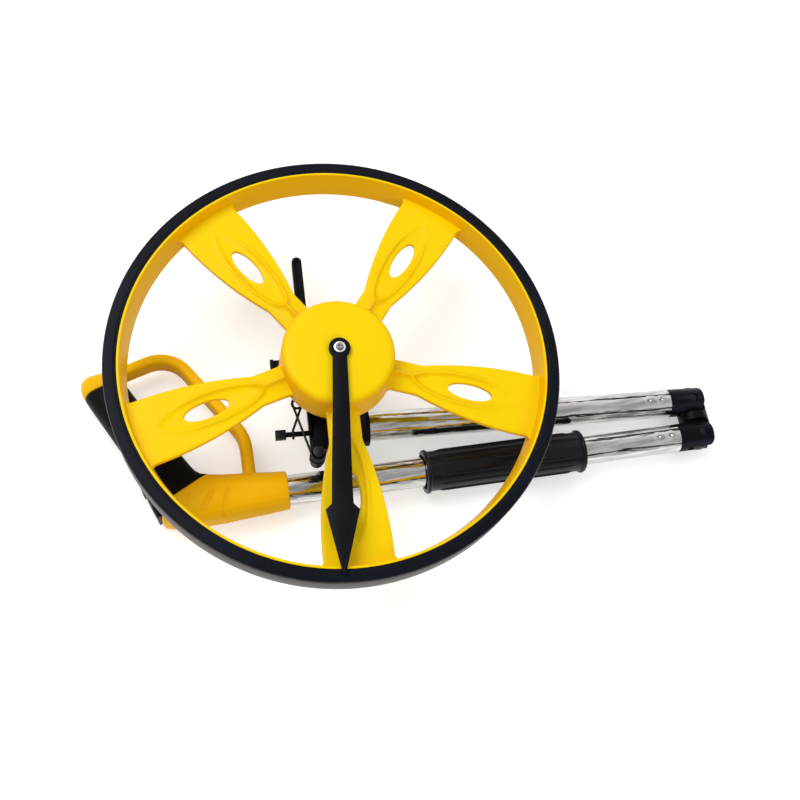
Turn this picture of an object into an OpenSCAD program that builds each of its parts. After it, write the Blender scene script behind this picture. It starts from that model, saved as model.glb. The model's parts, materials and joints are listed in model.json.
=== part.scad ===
// Folding digital measuring wheel, lying folded on its back with the wheel face up.
// Millimetres. X runs along the wheel-side tube, Z is the wheel axis and points up.
// The origin is on the wheel axis, on the plane that the folded wheel lies on.

/* [Wheel] */
// Distance rolled in one turn of the wheel
wheel_circumference = 1000; // [960:5:1040]
// Width of the tyre and the rim
wheel_w = 22; // [20:0.5:26]
// Radial thickness of the tyre
tyre_t = 9.3; // [7:0.1:11]
// Radial thickness of the rim
rim_t = 3.9; // [3:0.1:5]
// Draft of the rim's inner wall, which leaves it thicker at the back
rim_draft = 1; // [0.5:0.1:1.4]
// Distance from the tube axis up to the middle plane of the wheel
wheel_offset = 54.5; // [52:0.5:60]
// Number of spokes
spoke_count = 5; // [3:1:6]
// Angle of the first spoke
spoke_phase = 53.8; // [50:0.1:58]
// Width of a spoke beside the hub
spoke_neck_w = 23; // [20:0.5:25]
// Width of a spoke where it meets the rim
spoke_end_w = 47.5; // [42:0.5:52]
// Radius at which a spoke starts to flare
spoke_flare_r = 60; // [54:1:66]
// Radius of the fillets where a spoke leaves the hub
root_fillet = 5; // [3:0.5:6]
// Radius of the fillets where a spoke meets the rim
rim_fillet = 4; // [3:0.5:6]
// Thickness of the spoke plate
spoke_t = 4.5; // [3.5:0.1:6]
// Depth of the spoke plate below the front of the rim
spoke_recess = 10; // [8:0.5:12]
// Height of the moulded ridges above the spoke plate
ridge_h = 2.2; // [1.5:0.1:3]
// Width of the moulded ridges
ridge_w = 2.6; // [2:0.1:3.2]
// Length of the opening in a spoke
spoke_hole_len = 32; // [26:0.5:36]
// Width of the opening in a spoke
spoke_hole_w = 11.6; // [9:0.2:13]
// Radius at which the opening in a spoke is centred
spoke_hole_r = 97; // [94:0.5:100]

/* [Hub and axle] */
// Diameter of the hub drum at the back
hub_d = 81.5; // [78:0.5:85]
// Draft of the hub drum, taken off its radius at the front
hub_draft = 1.4; // [0.8:0.1:2]
// Radius of the rounded front edge of the hub
hub_round = 4; // [2.5:0.1:5]
// Height of the hub face above the front of the rim
hub_rise = 9.5; // [8:0.1:11]
// Wall thickness of the hub drum
hub_wall = 3; // [2.4:0.1:3.6]
// Outer diameter of the bearing boss in the hub
hub_boss_d = 30; // [28:0.5:33]
// Number of stiffening ribs inside the hub
hub_ribs = 10; // [6:1:12]
// Diameter of the axle bolt
axle_d = 8; // [7:0.5:9]
// Outer diameter of a wheel bearing
bearing_d = 22; // [21:0.5:24]
// Width of a wheel bearing
bearing_w = 7; // [6:0.5:8]
// Number of balls in a bearing
ball_count = 7; // [6:1:8]
// Diameter of a bearing ball
ball_d = 3.9; // [3.5:0.1:4.2]
// Thickness of the axle lock nut
nut_t = 4; // [3:0.5:5]

/* [Pointer] */
// Reach of the pointer from the axle to its tip
pointer_len = 153.5; // [145:0.5:157]
// Direction of the pointer seen from the front
pointer_angle = -94.7; // [-110:0.1:-80]
// Diameter of the eye of the pointer
pointer_eye_d = 15; // [13:0.5:17]
// Width of the pointer arm beside the eye
pointer_arm_w = 9.6; // [8:0.2:11]
// Width of the pointer arm at the arrow head
pointer_head_neck_w = 14.2; // [12:0.2:16]
// Width across the shoulders of the arrow head
pointer_head_w = 22.4; // [19:0.2:26]
// Length of the arrow head
pointer_head_len = 42; // [34:1:50]
// Thickness of the pointer
pointer_t = 2.6; // [2:0.1:3.2]

/* [Bracket] */
// Reach of the bracket tower from the axle towards the hinge
bracket_right = 20; // [18:0.5:23]
// Reach of the bracket tower from the axle away from the tube
bracket_top = 17; // [16:0.5:19]
// Wall thickness of the bracket
bracket_wall = 3; // [2.5:0.1:3.5]
// Thickness of the bracket wall that clamps the axle
axle_wall = 10; // [8:0.5:12]
// Thickness of the bracket back cover
cover_t = 3; // [2.5:0.1:4]
// Offset of the tube axis from the wheel axis
tube_offset = 31.4; // [30:0.2:34]
// Outer diameter of the tube socket
socket_d = 27; // [26:0.2:29]
// Reach of the tube socket past the axle
socket_reach = 24; // [20:0.5:28]

/* [Stand] */
// Length of the stand from its pivot to its tip
stand_len = 163; // [150:1:170]
// Width of the stand leg
stand_w = 7.4; // [6.5:0.1:8.5]
// Height of the stand leg
stand_h = 7; // [6:0.2:8]
// Diameter of the stand pivot pin
stand_pin_d = 4; // [3.5:0.1:4.5]
// Position of the stand pivot along X
stand_x = -18.6; // [-20:0.1:-17]
// Position of the stand pivot along Y
stand_y = -62; // [-64:0.2:-60]
// Thickness of the bracket lug that carries the stand
lug_t = 6; // [5:0.2:7]
// Wire diameter of the stand spring
spring_wire_d = 1.8; // [1.4:0.1:2]
// Turns of the stand spring round its pin
spring_turns = 3; // [2:1:4]

/* [Tubes and hinge] */
// Outer diameter of the two tubes
tube_d = 22; // [21:0.2:23]
// Wall thickness of the tubes
tube_wall = 1.2; // [1:0.1:1.5]
// Distance from the axle to the hinge pin on the wheel-side tube
hinge_x = 283.2; // [260:1:300]
// Distance between the two hinge pins
link_len = 28.4; // [28:0.1:30]
// Angle between the two folded tubes
splay = 2.76; // [2:0.02:3.4]
// Distance from a hinge pin back to the end of its tube
knuckle_len = 19; // [18:0.5:22]
// Reach of a knuckle past its hinge pin
knuckle_reach = 8.5; // [8:0.1:9]
// Radius of the outer corner of a knuckle
knuckle_round = 4.5; // [3:0.5:6]
// Diameter of the hinge pins
hinge_pin_d = 6; // [5:0.2:7]
// Thickness of the link tongues between the knuckle cheeks
tongue_t = 8; // [7:0.2:9]
// Length of a knuckle shank inside its tube
shank_len = 30; // [26:1:36]
// Diameter of the locking pins that hold a shank in its tube
lock_pin_d = 4; // [3:0.2:5]
// Distance of the first locking pin from the tube end
lock_pin_start = 8.5; // [6:0.5:10]
// Distance between the two locking pins of a tube
lock_pin_pitch = 10; // [8:0.5:12]

/* [Lock sleeve] */
// Length of the sleeve
sleeve_len = 124; // [118:0.5:136]
// Diameter of the sleeve between its end beads
sleeve_d = 30; // [29:0.2:31]
// Width of an end bead
sleeve_bead_w = 3.4; // [3:0.1:4]
// Distance from the handle to the sleeve
sleeve_x = 101; // [90:1:110]
// Number of ribs along the sleeve
sleeve_ribs = 12; // [8:1:16]

/* [Handle] */
// Distance from the mouth of the handle to its hinge pin
mouth_to_pin = 323.8; // [300:0.2:336]
// Thickness of the handle across the grip
handle_depth = 33; // [32.8:0.1:34]
// Diameter of the handle at its mouth
mouth_d = 28; // [27:0.2:29.5]
// Distance from the mouth to the corner of the grip
neck_len = 72; // [70:0.5:76]
// Length of the grip from the corner to its end
grip_len = 114; // [108:1:118]
// Direction of the grip, turned from the line of the tube
grip_angle = 118.2; // [116:0.2:121]
// Radius of the bend between neck and grip
grip_bend = 30; // [28:0.5:32]
// Thickness of the rubber on the grip
rubber_t = 2.6; // [2:0.1:3]
// Wall thickness of the handle shells
shell_wall = 2.6; // [2.2:0.1:3]
// Width of the hand guard
guard_w = 9.5; // [8:0.2:11]
// Depth of the hand guard
guard_depth = 17; // [14:0.5:20]
// Depth of the tube inside the handle
tube_seat = 44; // [36:1:46]

/* [Display] */
// Lean of the display face out from the line of the grip
display_lean = 8; // [5:0.5:9]
// Height of the display frame along the heel of the handle
display_h = 30; // [29.4:0.2:31]
// Width of the display frame
display_w = 25; // [24.4:0.2:26]
// Height of the display window
window_h = 13; // [11:0.2:14]
// Width of the display window
window_w = 19; // [17:0.2:20]
// Diameter of a button
button_d = 5.4; // [4.8:0.1:5.8]
// Spacing of the three buttons
button_pitch = 7.4; // [7.2:0.1:7.6]
// Travel of a button
button_travel = 0.8; // [0.5:0.1:0.9]
// Diameter of a battery
battery_d = 10.4; // [10:0.1:10.5]
// Length of a battery
battery_len = 44.5; // [42:0.5:45]

/* [Clearances] */
// Radial clearance of turning and sliding fits
run_gap = 0.06; // [0.03:0.01:0.1]
// Clearance between pieces that are pressed or set together
seat_gap = 0.02; // [0.01:0.01:0.05]
// Clearance between neighbouring pieces that only lie close
free_gap = 0.3; // [0.2:0.05:0.4]

/* [Hidden] */
$fn = 96;

yellow = [0.98, 0.80, 0.02];
black = [0.07, 0.07, 0.08];
steel = [0.78, 0.79, 0.80];
eps = 0.01;

// Heights
tube_z = handle_depth / 2;
wheel_mid_z = tube_z + wheel_offset;
wheel_back_z = wheel_mid_z - wheel_w / 2;
wheel_front_z = wheel_mid_z + wheel_w / 2;
bracket_front_z = wheel_back_z;
axle_seat_z = bracket_front_z - axle_wall;
hub_back_z = bracket_front_z + 2;
hub_front_z = wheel_front_z + hub_rise;
hub_face_back_z = hub_front_z - hub_wall;
clip_room = 4.5;
clip_t = 1.2;
front_bearing_z = hub_face_back_z - clip_room - bearing_w;
rear_bearing_z = bracket_front_z + nut_t;
nose_z = hub_front_z + 0.4;
pointer_z = nose_z + free_gap;
pointer_top_z = pointer_z + pointer_t;
washer_t = 0.8;
washer_z = pointer_top_z + free_gap;
spoke_top_z = wheel_front_z - spoke_recess;

// Radii
wheel_r = wheel_circumference / (2 * PI);
rim_r = wheel_r - tyre_t;
rim_inner_r = rim_r - rim_t;
hub_r = hub_d / 2;
hub_front_r = hub_r - hub_draft;
axle_r = axle_d / 2;
bearing_r = bearing_d / 2;
ring_t = (bearing_r - axle_r) / 3;
race_r = (bearing_r + axle_r) / 2;
tube_r = tube_d / 2;
tube_bore_r = tube_r - tube_wall;
socket_r = socket_d / 2;

// Plan positions of the tubes and the hinge
tube_y = -tube_offset;
pin_a = [hinge_x, tube_y];
pin_b = pin_a + link_len * [sin(splay / 2), -cos(splay / 2)];
lock_pin_x = [lock_pin_start, lock_pin_start + lock_pin_pitch];
bracket_left = -stand_x - stand_w / 2 - 2 * free_gap;
lower_tube_start = -bracket_left + bracket_wall;
lower_tube_end = hinge_x - knuckle_len;
upper_tube_end = mouth_to_pin - knuckle_len;

// Stand levels: the leg swings over the folded handle, under its lug
leg_z = handle_depth + 3;
leg_top_z = leg_z + stand_h;
lug_z = leg_top_z + free_gap;
lug_top_z = lug_z + lug_t;
stand_eye_r = stand_pin_d / 2 + 2.7;

// Places a child in the handle's own frame: x along the tube to the hinge, z from the tube axis
module in_handle() {
  translate([pin_b[0], pin_b[1], tube_z])
    rotate([0, 0, splay])
      translate([-mouth_to_pin, 0, 0])
        children();
}

// Cylinder along X from x0 to x1
module x_rod(r, x0, x1) {
  translate([x0, 0, 0]) rotate([0, 90, 0]) cylinder(r = r, h = x1 - x0);
}

// Hexagonal prism of a given width across flats
module hex(across, h) {
  cylinder(d = across / cos(30), h = h, $fn = 6);
}

// Rectangle with round corners, centred
module round_rect(w, h, r) {
  square([w - 2 * r, h], center = true);
  square([w, h - 2 * r], center = true);
  for (x = [-1, 1], y = [-1, 1])
    translate([x * (w / 2 - r), y * (h / 2 - r)]) circle(r);
}

// Ring with a rectangular section
module ring(r0, r1, z0, z1) {
  translate([0, 0, z0])
    difference() {
      cylinder(r = r1, h = z1 - z0);
      translate([0, 0, -1]) cylinder(r = r0, h = z1 - z0 + 2);
    }
}

// Points of an arc about c
function arc(c, r, a0, a1, n) = [for (i = [0 : n]) c + r * [cos(a0 + (a1 - a0) * i / n), sin(a0 + (a1 - a0) * i / n)]];

// Wheel

module tyre() {
  shoulder = 2.4;
  color(black)
    rotate_extrude($fn = 180)
      difference() {
        translate([wheel_r - wheel_w / 2, wheel_mid_z]) round_rect(wheel_w, wheel_w, shoulder);
        translate([0, wheel_back_z - 1]) square([rim_r + seat_gap, wheel_w + 2]);
      }
}

// Width that a fillet adds at a distance from the wall that it runs into
function fillet(gap, r) = r - sqrt(pow(r, 2) - pow(r - min(r, max(0, gap)), 2));

// Half width of a spoke at radius r: a straight neck that flares in a smooth curve, filleted at both ends
function flare(r) = min(1, max(0, (r - spoke_flare_r) / (rim_inner_r - 8 - spoke_flare_r)));
function spoke_half_w(r) =
  spoke_neck_w / 2 + (spoke_end_w - spoke_neck_w) / 2 * (1 - pow(1 - flare(r), 2))
  + fillet(norm([r, spoke_neck_w / 2]) - hub_front_r, root_fillet) + fillet(rim_inner_r - r, rim_fillet);

module spoke_outline() {
  root_r = hub_front_r - hub_wall / 2;
  root_half_w = spoke_neck_w / 2 + root_fillet;
  neck_x = sqrt(pow(hub_front_r, 2) - pow(spoke_neck_w / 2, 2));
  fillet_steps = 5;
  flare_steps = 10;
  bend = [for (i = [0 : fillet_steps]) 1 - cos(90 * i / fillet_steps)];
  flare_run = rim_inner_r - rim_fillet - spoke_flare_r;
  radii = concat([sqrt(pow(root_r, 2) - pow(root_half_w, 2))],
                 [for (b = bend) neck_x + root_fillet * b],
                 [for (i = [0 : flare_steps]) spoke_flare_r + flare_run * i / flare_steps],
                 [for (i = [fillet_steps - 1 : -1 : 0]) rim_inner_r - rim_fillet * bend[i]],
                 [rim_inner_r + rim_t / 3]);
  side = [for (r = radii) [r, spoke_half_w(r)]];
  root_angle = 0.8 * asin(root_half_w / root_r);
  polygon(concat(side, [for (i = [len(side) - 1 : -1 : 0]) [side[i][0], -side[i][1]]],
                 arc([0, 0], root_r, -root_angle, root_angle, 4)));
}

// Closed lens-shaped outline between two radii
function lens(r0, r1, half_w, power, n) = [for (i = [0 : 2 * n - 1])
  let (a = 180 * i / n)
  [(r0 + r1) / 2 - (r1 - r0) / 2 * cos(a), half_w * sign(sin(a)) * pow(abs(sin(a)), power)]];

ridge_r0 = spoke_flare_r - 5;
ridge_r1 = rim_inner_r - 13;
ridge_half_w = spoke_hole_w / 2 + 5.2;

module spoke_ridge() {
  difference() {
    polygon(lens(ridge_r0, ridge_r1, ridge_half_w, 1.25, 18));
    polygon(lens(ridge_r0 + 3 * ridge_w, ridge_r1 - 3 * ridge_w, ridge_half_w - ridge_w, 1.25, 18));
  }
}

// Pitched ridge from the hub out to the point of the lens-shaped ridge
module neck_ridge() {
  r0 = hub_front_r - hub_wall / 2;
  rise = 2 * ridge_h;
  translate([r0, 0, spoke_top_z - eps])
    rotate([90, 0, 90])
      linear_extrude(ridge_r0 + 2 * ridge_w - r0)
        polygon([[-spoke_neck_w / 2 + 1, 0], [0, rise], [spoke_neck_w / 2 - 1, 0]]);
}

module spoke() {
  difference() {
    union() {
      translate([0, 0, spoke_top_z - spoke_t]) linear_extrude(spoke_t) spoke_outline();
      translate([0, 0, spoke_top_z - eps]) linear_extrude(ridge_h + eps) spoke_ridge();
      neck_ridge();
    }
    translate([0, 0, spoke_top_z - spoke_t - 1])
      linear_extrude(spoke_t + ridge_h + 2)
        polygon(lens(spoke_hole_r - spoke_hole_len / 2, spoke_hole_r + spoke_hole_len / 2,
                     spoke_hole_w / 2, 1, 18));
  }
}

module hub_section() {
  face_r = hub_front_r - hub_round;
  difference() {
    polygon(concat([[0, hub_back_z], [hub_r, hub_back_z]],
                   arc([face_r, hub_front_z - hub_round], hub_round, 0, 90, 8),
                   [[0, hub_front_z]]));
    polygon([[hub_boss_d / 2, hub_back_z - 1], [hub_r - hub_wall, hub_back_z - 1],
             [hub_front_r - hub_wall, hub_front_z - hub_round], [face_r, hub_face_back_z],
             [hub_boss_d / 2, hub_face_back_z]]);
  }
}

module hub() {
  difference() {
    union() {
      rotate_extrude($fn = 128) hub_section();
      for (i = [0 : hub_ribs - 1])
        rotate([0, 0, i * 360 / hub_ribs])
          translate([hub_boss_d / 2 - 1, -1, hub_back_z + 6])
            cube([hub_front_r - hub_boss_d / 2 - hub_wall + 2, 2, hub_face_back_z - hub_back_z - 5]);
    }
    translate([0, 0, hub_back_z - 1])
      cylinder(r = bearing_r + seat_gap, h = front_bearing_z + bearing_w - hub_back_z + 1);
    translate([0, 0, hub_back_z]) cylinder(r = bearing_r - 2, h = hub_face_back_z - hub_back_z);
    translate([0, 0, hub_back_z]) cylinder(r = axle_r + 1, h = hub_front_z - hub_back_z + 1);
  }
}

module spoked_wheel() {
  chamfer = 0.8;
  color(yellow) {
    rotate_extrude($fn = 180)
      polygon([[rim_inner_r - rim_draft + chamfer, wheel_back_z], [rim_r, wheel_back_z], [rim_r, wheel_front_z],
               [rim_inner_r + chamfer, wheel_front_z], [rim_inner_r, wheel_front_z - chamfer],
               [rim_inner_r - rim_draft, wheel_back_z + chamfer]]);
    for (i = [0 : spoke_count - 1])
      rotate([0, 0, spoke_phase + i * 360 / spoke_count]) spoke();
    hub();
  }
}

// Bearings: the outer rings turn with the wheel, the inner rings stay on the axle

module at_bearings() {
  for (z = [rear_bearing_z, front_bearing_z]) translate([0, 0, z]) children();
}

module race(r0, r1) {
  difference() {
    ring(r0, r1, 0, bearing_w);
    translate([0, 0, bearing_w / 2]) rotate_extrude() translate([race_r, 0]) circle(d = ball_d + 2 * run_gap);
  }
}

module bearing_outer_rings() {
  color(steel) at_bearings() race(bearing_r - ring_t, bearing_r);
}

module bearing_inner_rings() {
  color(steel) at_bearings() race(axle_r + seat_gap, axle_r + ring_t);
}

module bearing_balls() {
  color(steel)
    at_bearings()
      for (i = [0 : ball_count - 1])
        rotate([0, 0, i * 360 / ball_count]) translate([race_r, 0, bearing_w / 2]) sphere(d = ball_d);
}

module hub_spacer() {
  color(steel)
    ring(bearing_r - ring_t + 0.4, bearing_r, rear_bearing_z + bearing_w, front_bearing_z);
}

module axle_spacer() {
  color(steel)
    ring(axle_r + seat_gap, axle_r + ring_t - 0.4, rear_bearing_z + bearing_w, front_bearing_z);
}

module magnet_ring() {
  color([0.25, 0.25, 0.27])
    ring(bearing_r + 0.5, hub_boss_d / 2, hub_back_z - 1.4, hub_back_z);
}

// Axle

bolt_head_t = 5.5;
nut_across = 13;
clip_groove_r = axle_r - 0.5;
nose_r = 2.6;

module axle_bolt() {
  color(steel)
    difference() {
      union() {
        translate([0, 0, axle_seat_z - bolt_head_t]) hex(nut_across, bolt_head_t);
        translate([0, 0, axle_seat_z - eps]) cylinder(r = axle_r, h = nose_z - axle_seat_z + eps);
        translate([0, 0, nose_z - eps]) cylinder(r = nose_r, h = washer_z - nose_z + eps);
      }
      ring(clip_groove_r, axle_r + 1, front_bearing_z + bearing_w, front_bearing_z + bearing_w + clip_t);
      translate([0, 0, nose_z - 10]) cylinder(r = 1.5 + seat_gap, h = washer_z - nose_z + 11);
    }
}

module axle_nut() {
  color(steel)
    translate([0, 0, bracket_front_z])
      difference() {
        hex(nut_across, nut_t);
        translate([0, 0, -1]) cylinder(r = axle_r + seat_gap, h = nut_t + 2);
      }
}

module axle_clip() {
  opening = 2 * clip_groove_r - 1.2;
  color(steel)
    translate([0, 0, front_bearing_z + bearing_w + seat_gap])
      linear_extrude(clip_t - 2 * seat_gap)
        difference() {
          circle(axle_r + 2.4);
          circle(clip_groove_r + seat_gap);
          translate([0, -opening / 2]) square([axle_r + 4, opening]);
        }
}

// Pointer: a flat arm that drops off the hub face towards the rim

module pointer_outline() {
  head_x = pointer_len - pointer_head_len;
  polygon([[0, pointer_arm_w / 2], [head_x - 4, pointer_head_neck_w / 2], [head_x, pointer_head_w / 2],
           [pointer_len, 1], [pointer_len, -1], [head_x, -pointer_head_w / 2],
           [head_x - 4, -pointer_head_neck_w / 2], [0, -pointer_arm_w / 2]]);
}

module pointer_profile() {
  drop = pointer_z - wheel_front_z - 1.2;
  bend_x = hub_r + 4;
  foot_x = bend_x + 5 * drop;
  line = [[-pointer_eye_d, 0], [bend_x, 0], [foot_x, -drop], [pointer_len + 1, -drop]];
  polygon(concat(line, [for (i = [3 : -1 : 0]) line[i] + [0, pointer_t]]));
}

module pointer() {
  color(black)
    rotate([0, 0, pointer_angle])
      difference() {
        intersection() {
          translate([0, 0, wheel_front_z]) {
            linear_extrude(pointer_top_z - wheel_front_z + 1) pointer_outline();
            cylinder(d = pointer_eye_d, h = pointer_top_z - wheel_front_z + 1);
          }
          translate([0, pointer_head_w, pointer_z])
            rotate([90, 0, 0]) linear_extrude(2 * pointer_head_w) pointer_profile();
        }
        translate([0, 0, wheel_front_z]) cylinder(r = nose_r + run_gap, h = pointer_top_z);
      }
}

module pointer_washer() {
  color([0.93, 0.93, 0.92]) ring(1.6, 4.1, washer_z, washer_z + washer_t);
}

module pointer_screw() {
  head_h = 1.9;
  z = washer_z + washer_t;
  color(steel)
    difference() {
      union() {
        translate([0, 0, z]) cylinder(r1 = 2.8, r2 = 2.2, h = head_h);
        translate([0, 0, nose_z - 8]) cylinder(r = 1.5, h = z - nose_z + 8 + eps);
      }
      for (a = [0, 90])
        rotate([0, 0, a]) translate([-1.6, -0.35, z + head_h - 1.1]) cube([3.2, 0.7, 2]);
    }
}

// Bracket that carries the axle, the tube and the stand

cover_y0 = -16;

// Rectangle with round corners between two opposite corners, drawn in by an inset
module rounded_box(x0, y0, x1, y1, r, inset) {
  translate([(x0 + x1) / 2, (y0 + y1) / 2]) round_rect(x1 - x0 - 2 * inset, y1 - y0 - 2 * inset, r - inset / 2);
}

module bracket_plan(inset) {
  rounded_box(-bracket_left, cover_y0, bracket_right, bracket_top, 5, inset);
}

module bracket_side_profile() {
  y0 = tube_y - socket_r;
  polygon([[y0, cover_t], [y0, tube_z + socket_r / 2], [cover_y0 - bracket_wall, bracket_front_z],
           [bracket_top, bracket_front_z], [bracket_top, cover_t]]);
}

module lug_plan() {
  translate([stand_x, stand_y]) circle(stand_eye_r + 1);
  polygon([[-bracket_left, cover_y0 - 4], [bracket_right - 6, cover_y0 - 4], [2, tube_y - socket_r - 2],
           [stand_x + stand_eye_r, stand_y + 3], [stand_x - stand_eye_r, stand_y]]);
}

// Positions of the four cover screws
screw_inset = bracket_wall + 2.4;
cover_screws = [for (x = [-bracket_left + screw_inset, bracket_right - screw_inset],
                     y = [cover_y0 + screw_inset, bracket_top - screw_inset]) [x, y]];
cover_screw_r = 1.4;
cover_screw_len = 12;
screw_boss_r = 3.2;
board_t = 1.6;
board_z = axle_seat_z - bolt_head_t - 3;
board_post_x = bracket_right - bracket_wall - 3;
post_y = -43.4;
post_z = lug_z + lug_t / 2;
post_r = 1.9;

module axle_bracket() {
  color(black)
    difference() {
      union() {
        intersection() {
          translate([-bracket_left, tube_y - socket_r, cover_t])
            cube([bracket_left + bracket_right, bracket_top - tube_y + socket_r, bracket_front_z - cover_t]);
          rotate([90, 0, 90]) translate([0, 0, -40]) linear_extrude(80) bracket_side_profile();
        }
        translate([0, tube_y, tube_z]) x_rod(socket_r, -bracket_left, socket_reach);
        translate([0, tube_y, tube_z]) x_rod(socket_r + 1, socket_reach - 5, socket_reach);
        translate([0, 0, lug_z]) linear_extrude(lug_t) lug_plan();
      }
      translate([0, tube_y, tube_z]) x_rod(tube_r + seat_gap, lower_tube_start - seat_gap, socket_reach + 1);
      difference() {
        translate([0, 0, cover_t - 1]) linear_extrude(axle_seat_z - cover_t + 1) bracket_plan(bracket_wall);
        for (p = cover_screws) translate([p[0], p[1], 0]) cylinder(r = screw_boss_r, h = axle_seat_z + 1);
        for (y = [-1, 1]) translate([board_post_x, 4 * y, board_z + board_t]) cylinder(r = 1.6, h = axle_seat_z);
      }
      for (p = cover_screws)
        translate([p[0], p[1], cover_t - 1]) cylinder(r = cover_screw_r + seat_gap, h = cover_screw_len + 1);
      cylinder(r = axle_r + seat_gap, h = bracket_front_z + 1);
      translate([stand_x, stand_y, lug_z - 1]) cylinder(r = stand_pin_d / 2 + seat_gap, h = lug_t + 2);
      translate([0, post_y, post_z]) x_rod(post_r + seat_gap, stand_x - 20, stand_x + 8);
    }
}

module bracket_cover() {
  color(black)
    difference() {
      linear_extrude(cover_t) bracket_plan(0);
      for (p = cover_screws) {
        translate([p[0], p[1], -1]) cylinder(r = cover_screw_r + seat_gap, h = cover_t + 2);
        translate([p[0], p[1], -1]) cylinder(r = 2.6 + seat_gap, h = 2.6);
      }
    }
}

module bracket_screws() {
  color(steel)
    for (p = cover_screws)
      translate([p[0], p[1], 0]) {
        translate([0, 0, 0.3]) cylinder(r = 2.6, h = 1.3 - seat_gap);
        translate([0, 0, 1]) cylinder(r = cover_screw_r, h = cover_screw_len);
      }
}

module sensor_board() {
  color([0.08, 0.35, 0.18]) {
    translate([0, 0, board_z])
      linear_extrude(board_t)
        difference() {
          bracket_plan(bracket_wall + free_gap);
          circle(axle_r + 4.5);
          for (p = cover_screws) translate(p) circle(screw_boss_r + free_gap);
        }
    translate([9.4, -2, board_z + board_t - eps]) cube([3, 4, 2.2]);
  }
}

// Stand

module stand_outline(inset) {
  tip_r = stand_w / 2 - inset;
  translate([-tip_r, 0]) square([2 * tip_r, stand_len - stand_w / 2]);
  translate([0, stand_len - stand_w / 2]) circle(tip_r);
}

tab_y = 75;
tab_reach = 27;

module stand_leg() {
  groove_w = 2.6;
  groove_y = stand_eye_r + 5;
  color(black)
    translate([stand_x, stand_y, leg_z])
      difference() {
        union() {
          linear_extrude(stand_h) {
            stand_outline(0);
            circle(stand_eye_r);
          }
          translate([-tab_reach, tab_y - 4, 2]) cube([tab_reach, 8, 3]);
          translate([-tab_reach, tab_y - 4, 2]) cube([2.5, 8, stand_h - 2]);
        }
        translate([0, 0, -1]) cylinder(r = stand_pin_d / 2 + run_gap, h = stand_h + 2);
        for (z = [-1, stand_h - 2])
          translate([0, 0, z])
            linear_extrude(3)
              intersection() {
                stand_outline((stand_w - groove_w) / 2);
                translate([-stand_w, groove_y]) square([2 * stand_w, stand_len]);
              }
      }
}

coil_gap = 0.45;
coil_pitch = spring_wire_d + coil_gap;
coil_z = lug_top_z + spring_wire_d / 2 + free_gap;
coil_top_z = coil_z + spring_turns * coil_pitch;
pin_top_z = coil_top_z + spring_wire_d / 2 + free_gap;

module stand_pin() {
  head_r = stand_pin_d / 2 + 1.8;
  color(steel)
    translate([stand_x, stand_y, 0]) {
      translate([0, 0, leg_z - 1.6 - free_gap]) cylinder(r = head_r, h = 1.6);
      translate([0, 0, leg_z - 1]) cylinder(d = stand_pin_d, h = pin_top_z - leg_z + 1);
      translate([0, 0, pin_top_z - eps]) cylinder(r = head_r, h = 1.2);
    }
}

post_end = stand_x - 28;

module spring_post() {
  color(black)
    translate([0, post_y, post_z]) {
      x_rod(post_r, post_end + 2, stand_x + 7);
      translate([post_end, -3, -3]) cube([7.5, 6, 6]);
    }
}

// Wire path of the stand spring: coil round the pin, leg up to a small loop, leg down to a hook on the post
coil_r = stand_pin_d / 2 + spring_wire_d / 2 + 1.9;
loop_c = [-30, -24];
loop_r = 3.4;
hook_x = stand_x - 15.5;
hook_r = post_r + spring_wire_d / 2 + 0.2;
rings_per_turn = 8;
leg_angle = 104;
loop_turn = 568;
loop_fall = coil_pitch * loop_turn / 360;

function helix_point(c, r, a, z) = [c[0] + r * cos(a), c[1] + r * sin(a), z];
spring_coil = [for (i = [0 : spring_turns * rings_per_turn])
  let (f = i / rings_per_turn)
  helix_point([stand_x, stand_y], coil_r, leg_angle + 90 + 360 * spring_turns - 360 * f, coil_z + coil_pitch * f)];
spring_loop = [for (i = [0 : ceil(loop_turn / 360 * rings_per_turn)])
  let (f = i / ceil(loop_turn / 360 * rings_per_turn))
  helix_point(loop_c, loop_r, leg_angle + 90 - loop_turn * f, coil_top_z - loop_fall * f)];
spring_hook = [for (a = [50 : 25 : 250])
  [hook_x, post_y + hook_r * cos(a), post_z + hook_r * sin(a)]];
spring_path = concat(spring_coil, spring_loop, spring_hook);

function unit(v) = v / norm(v);
function path_tangent(p, i) = unit(p[min(i + 1, len(p) - 1)] - p[max(i - 1, 0)]);

// Points of rings of n sides along a path in space
function tube_points(p, r, n) = [for (i = [0 : len(p) - 1])
  let (t = path_tangent(p, i), u = unit(cross([0.55, 0, 0.835], t)), v = cross(t, u))
  for (k = [0 : n - 1]) p[i] + r * (u * cos(360 * k / n) + v * sin(360 * k / n))];

// Triangles of a closed tube of m rings of n points
function tube_faces(m, n) = concat(
  [for (i = [0 : m - 2], k = [0 : n - 1]) [i * n + k, (i + 1) * n + k, i * n + (k + 1) % n]],
  [for (i = [0 : m - 2], k = [0 : n - 1]) [i * n + (k + 1) % n, (i + 1) * n + k, (i + 1) * n + (k + 1) % n]],
  [for (k = [1 : n - 2]) [0, k, k + 1]],
  [for (k = [1 : n - 2]) [(m - 1) * n, (m - 1) * n + k + 1, (m - 1) * n + k]]);

module stand_spring() {
  n = 6;
  color([0.12, 0.12, 0.13])
    polyhedron(tube_points(spring_path, spring_wire_d / 2, n), tube_faces(len(spring_path), n));
}

// Least clear distance between turns of the spring that are not neighbours along the wire
spring_self_gap = min([for (i = [0 : len(spring_path) - 1], j = [i + 4 : 1 : len(spring_path) - 1])
  norm(spring_path[i] - spring_path[j])]) - spring_wire_d;
echo(spring_self_gap = spring_self_gap);

// Tubes and hinge

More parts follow.
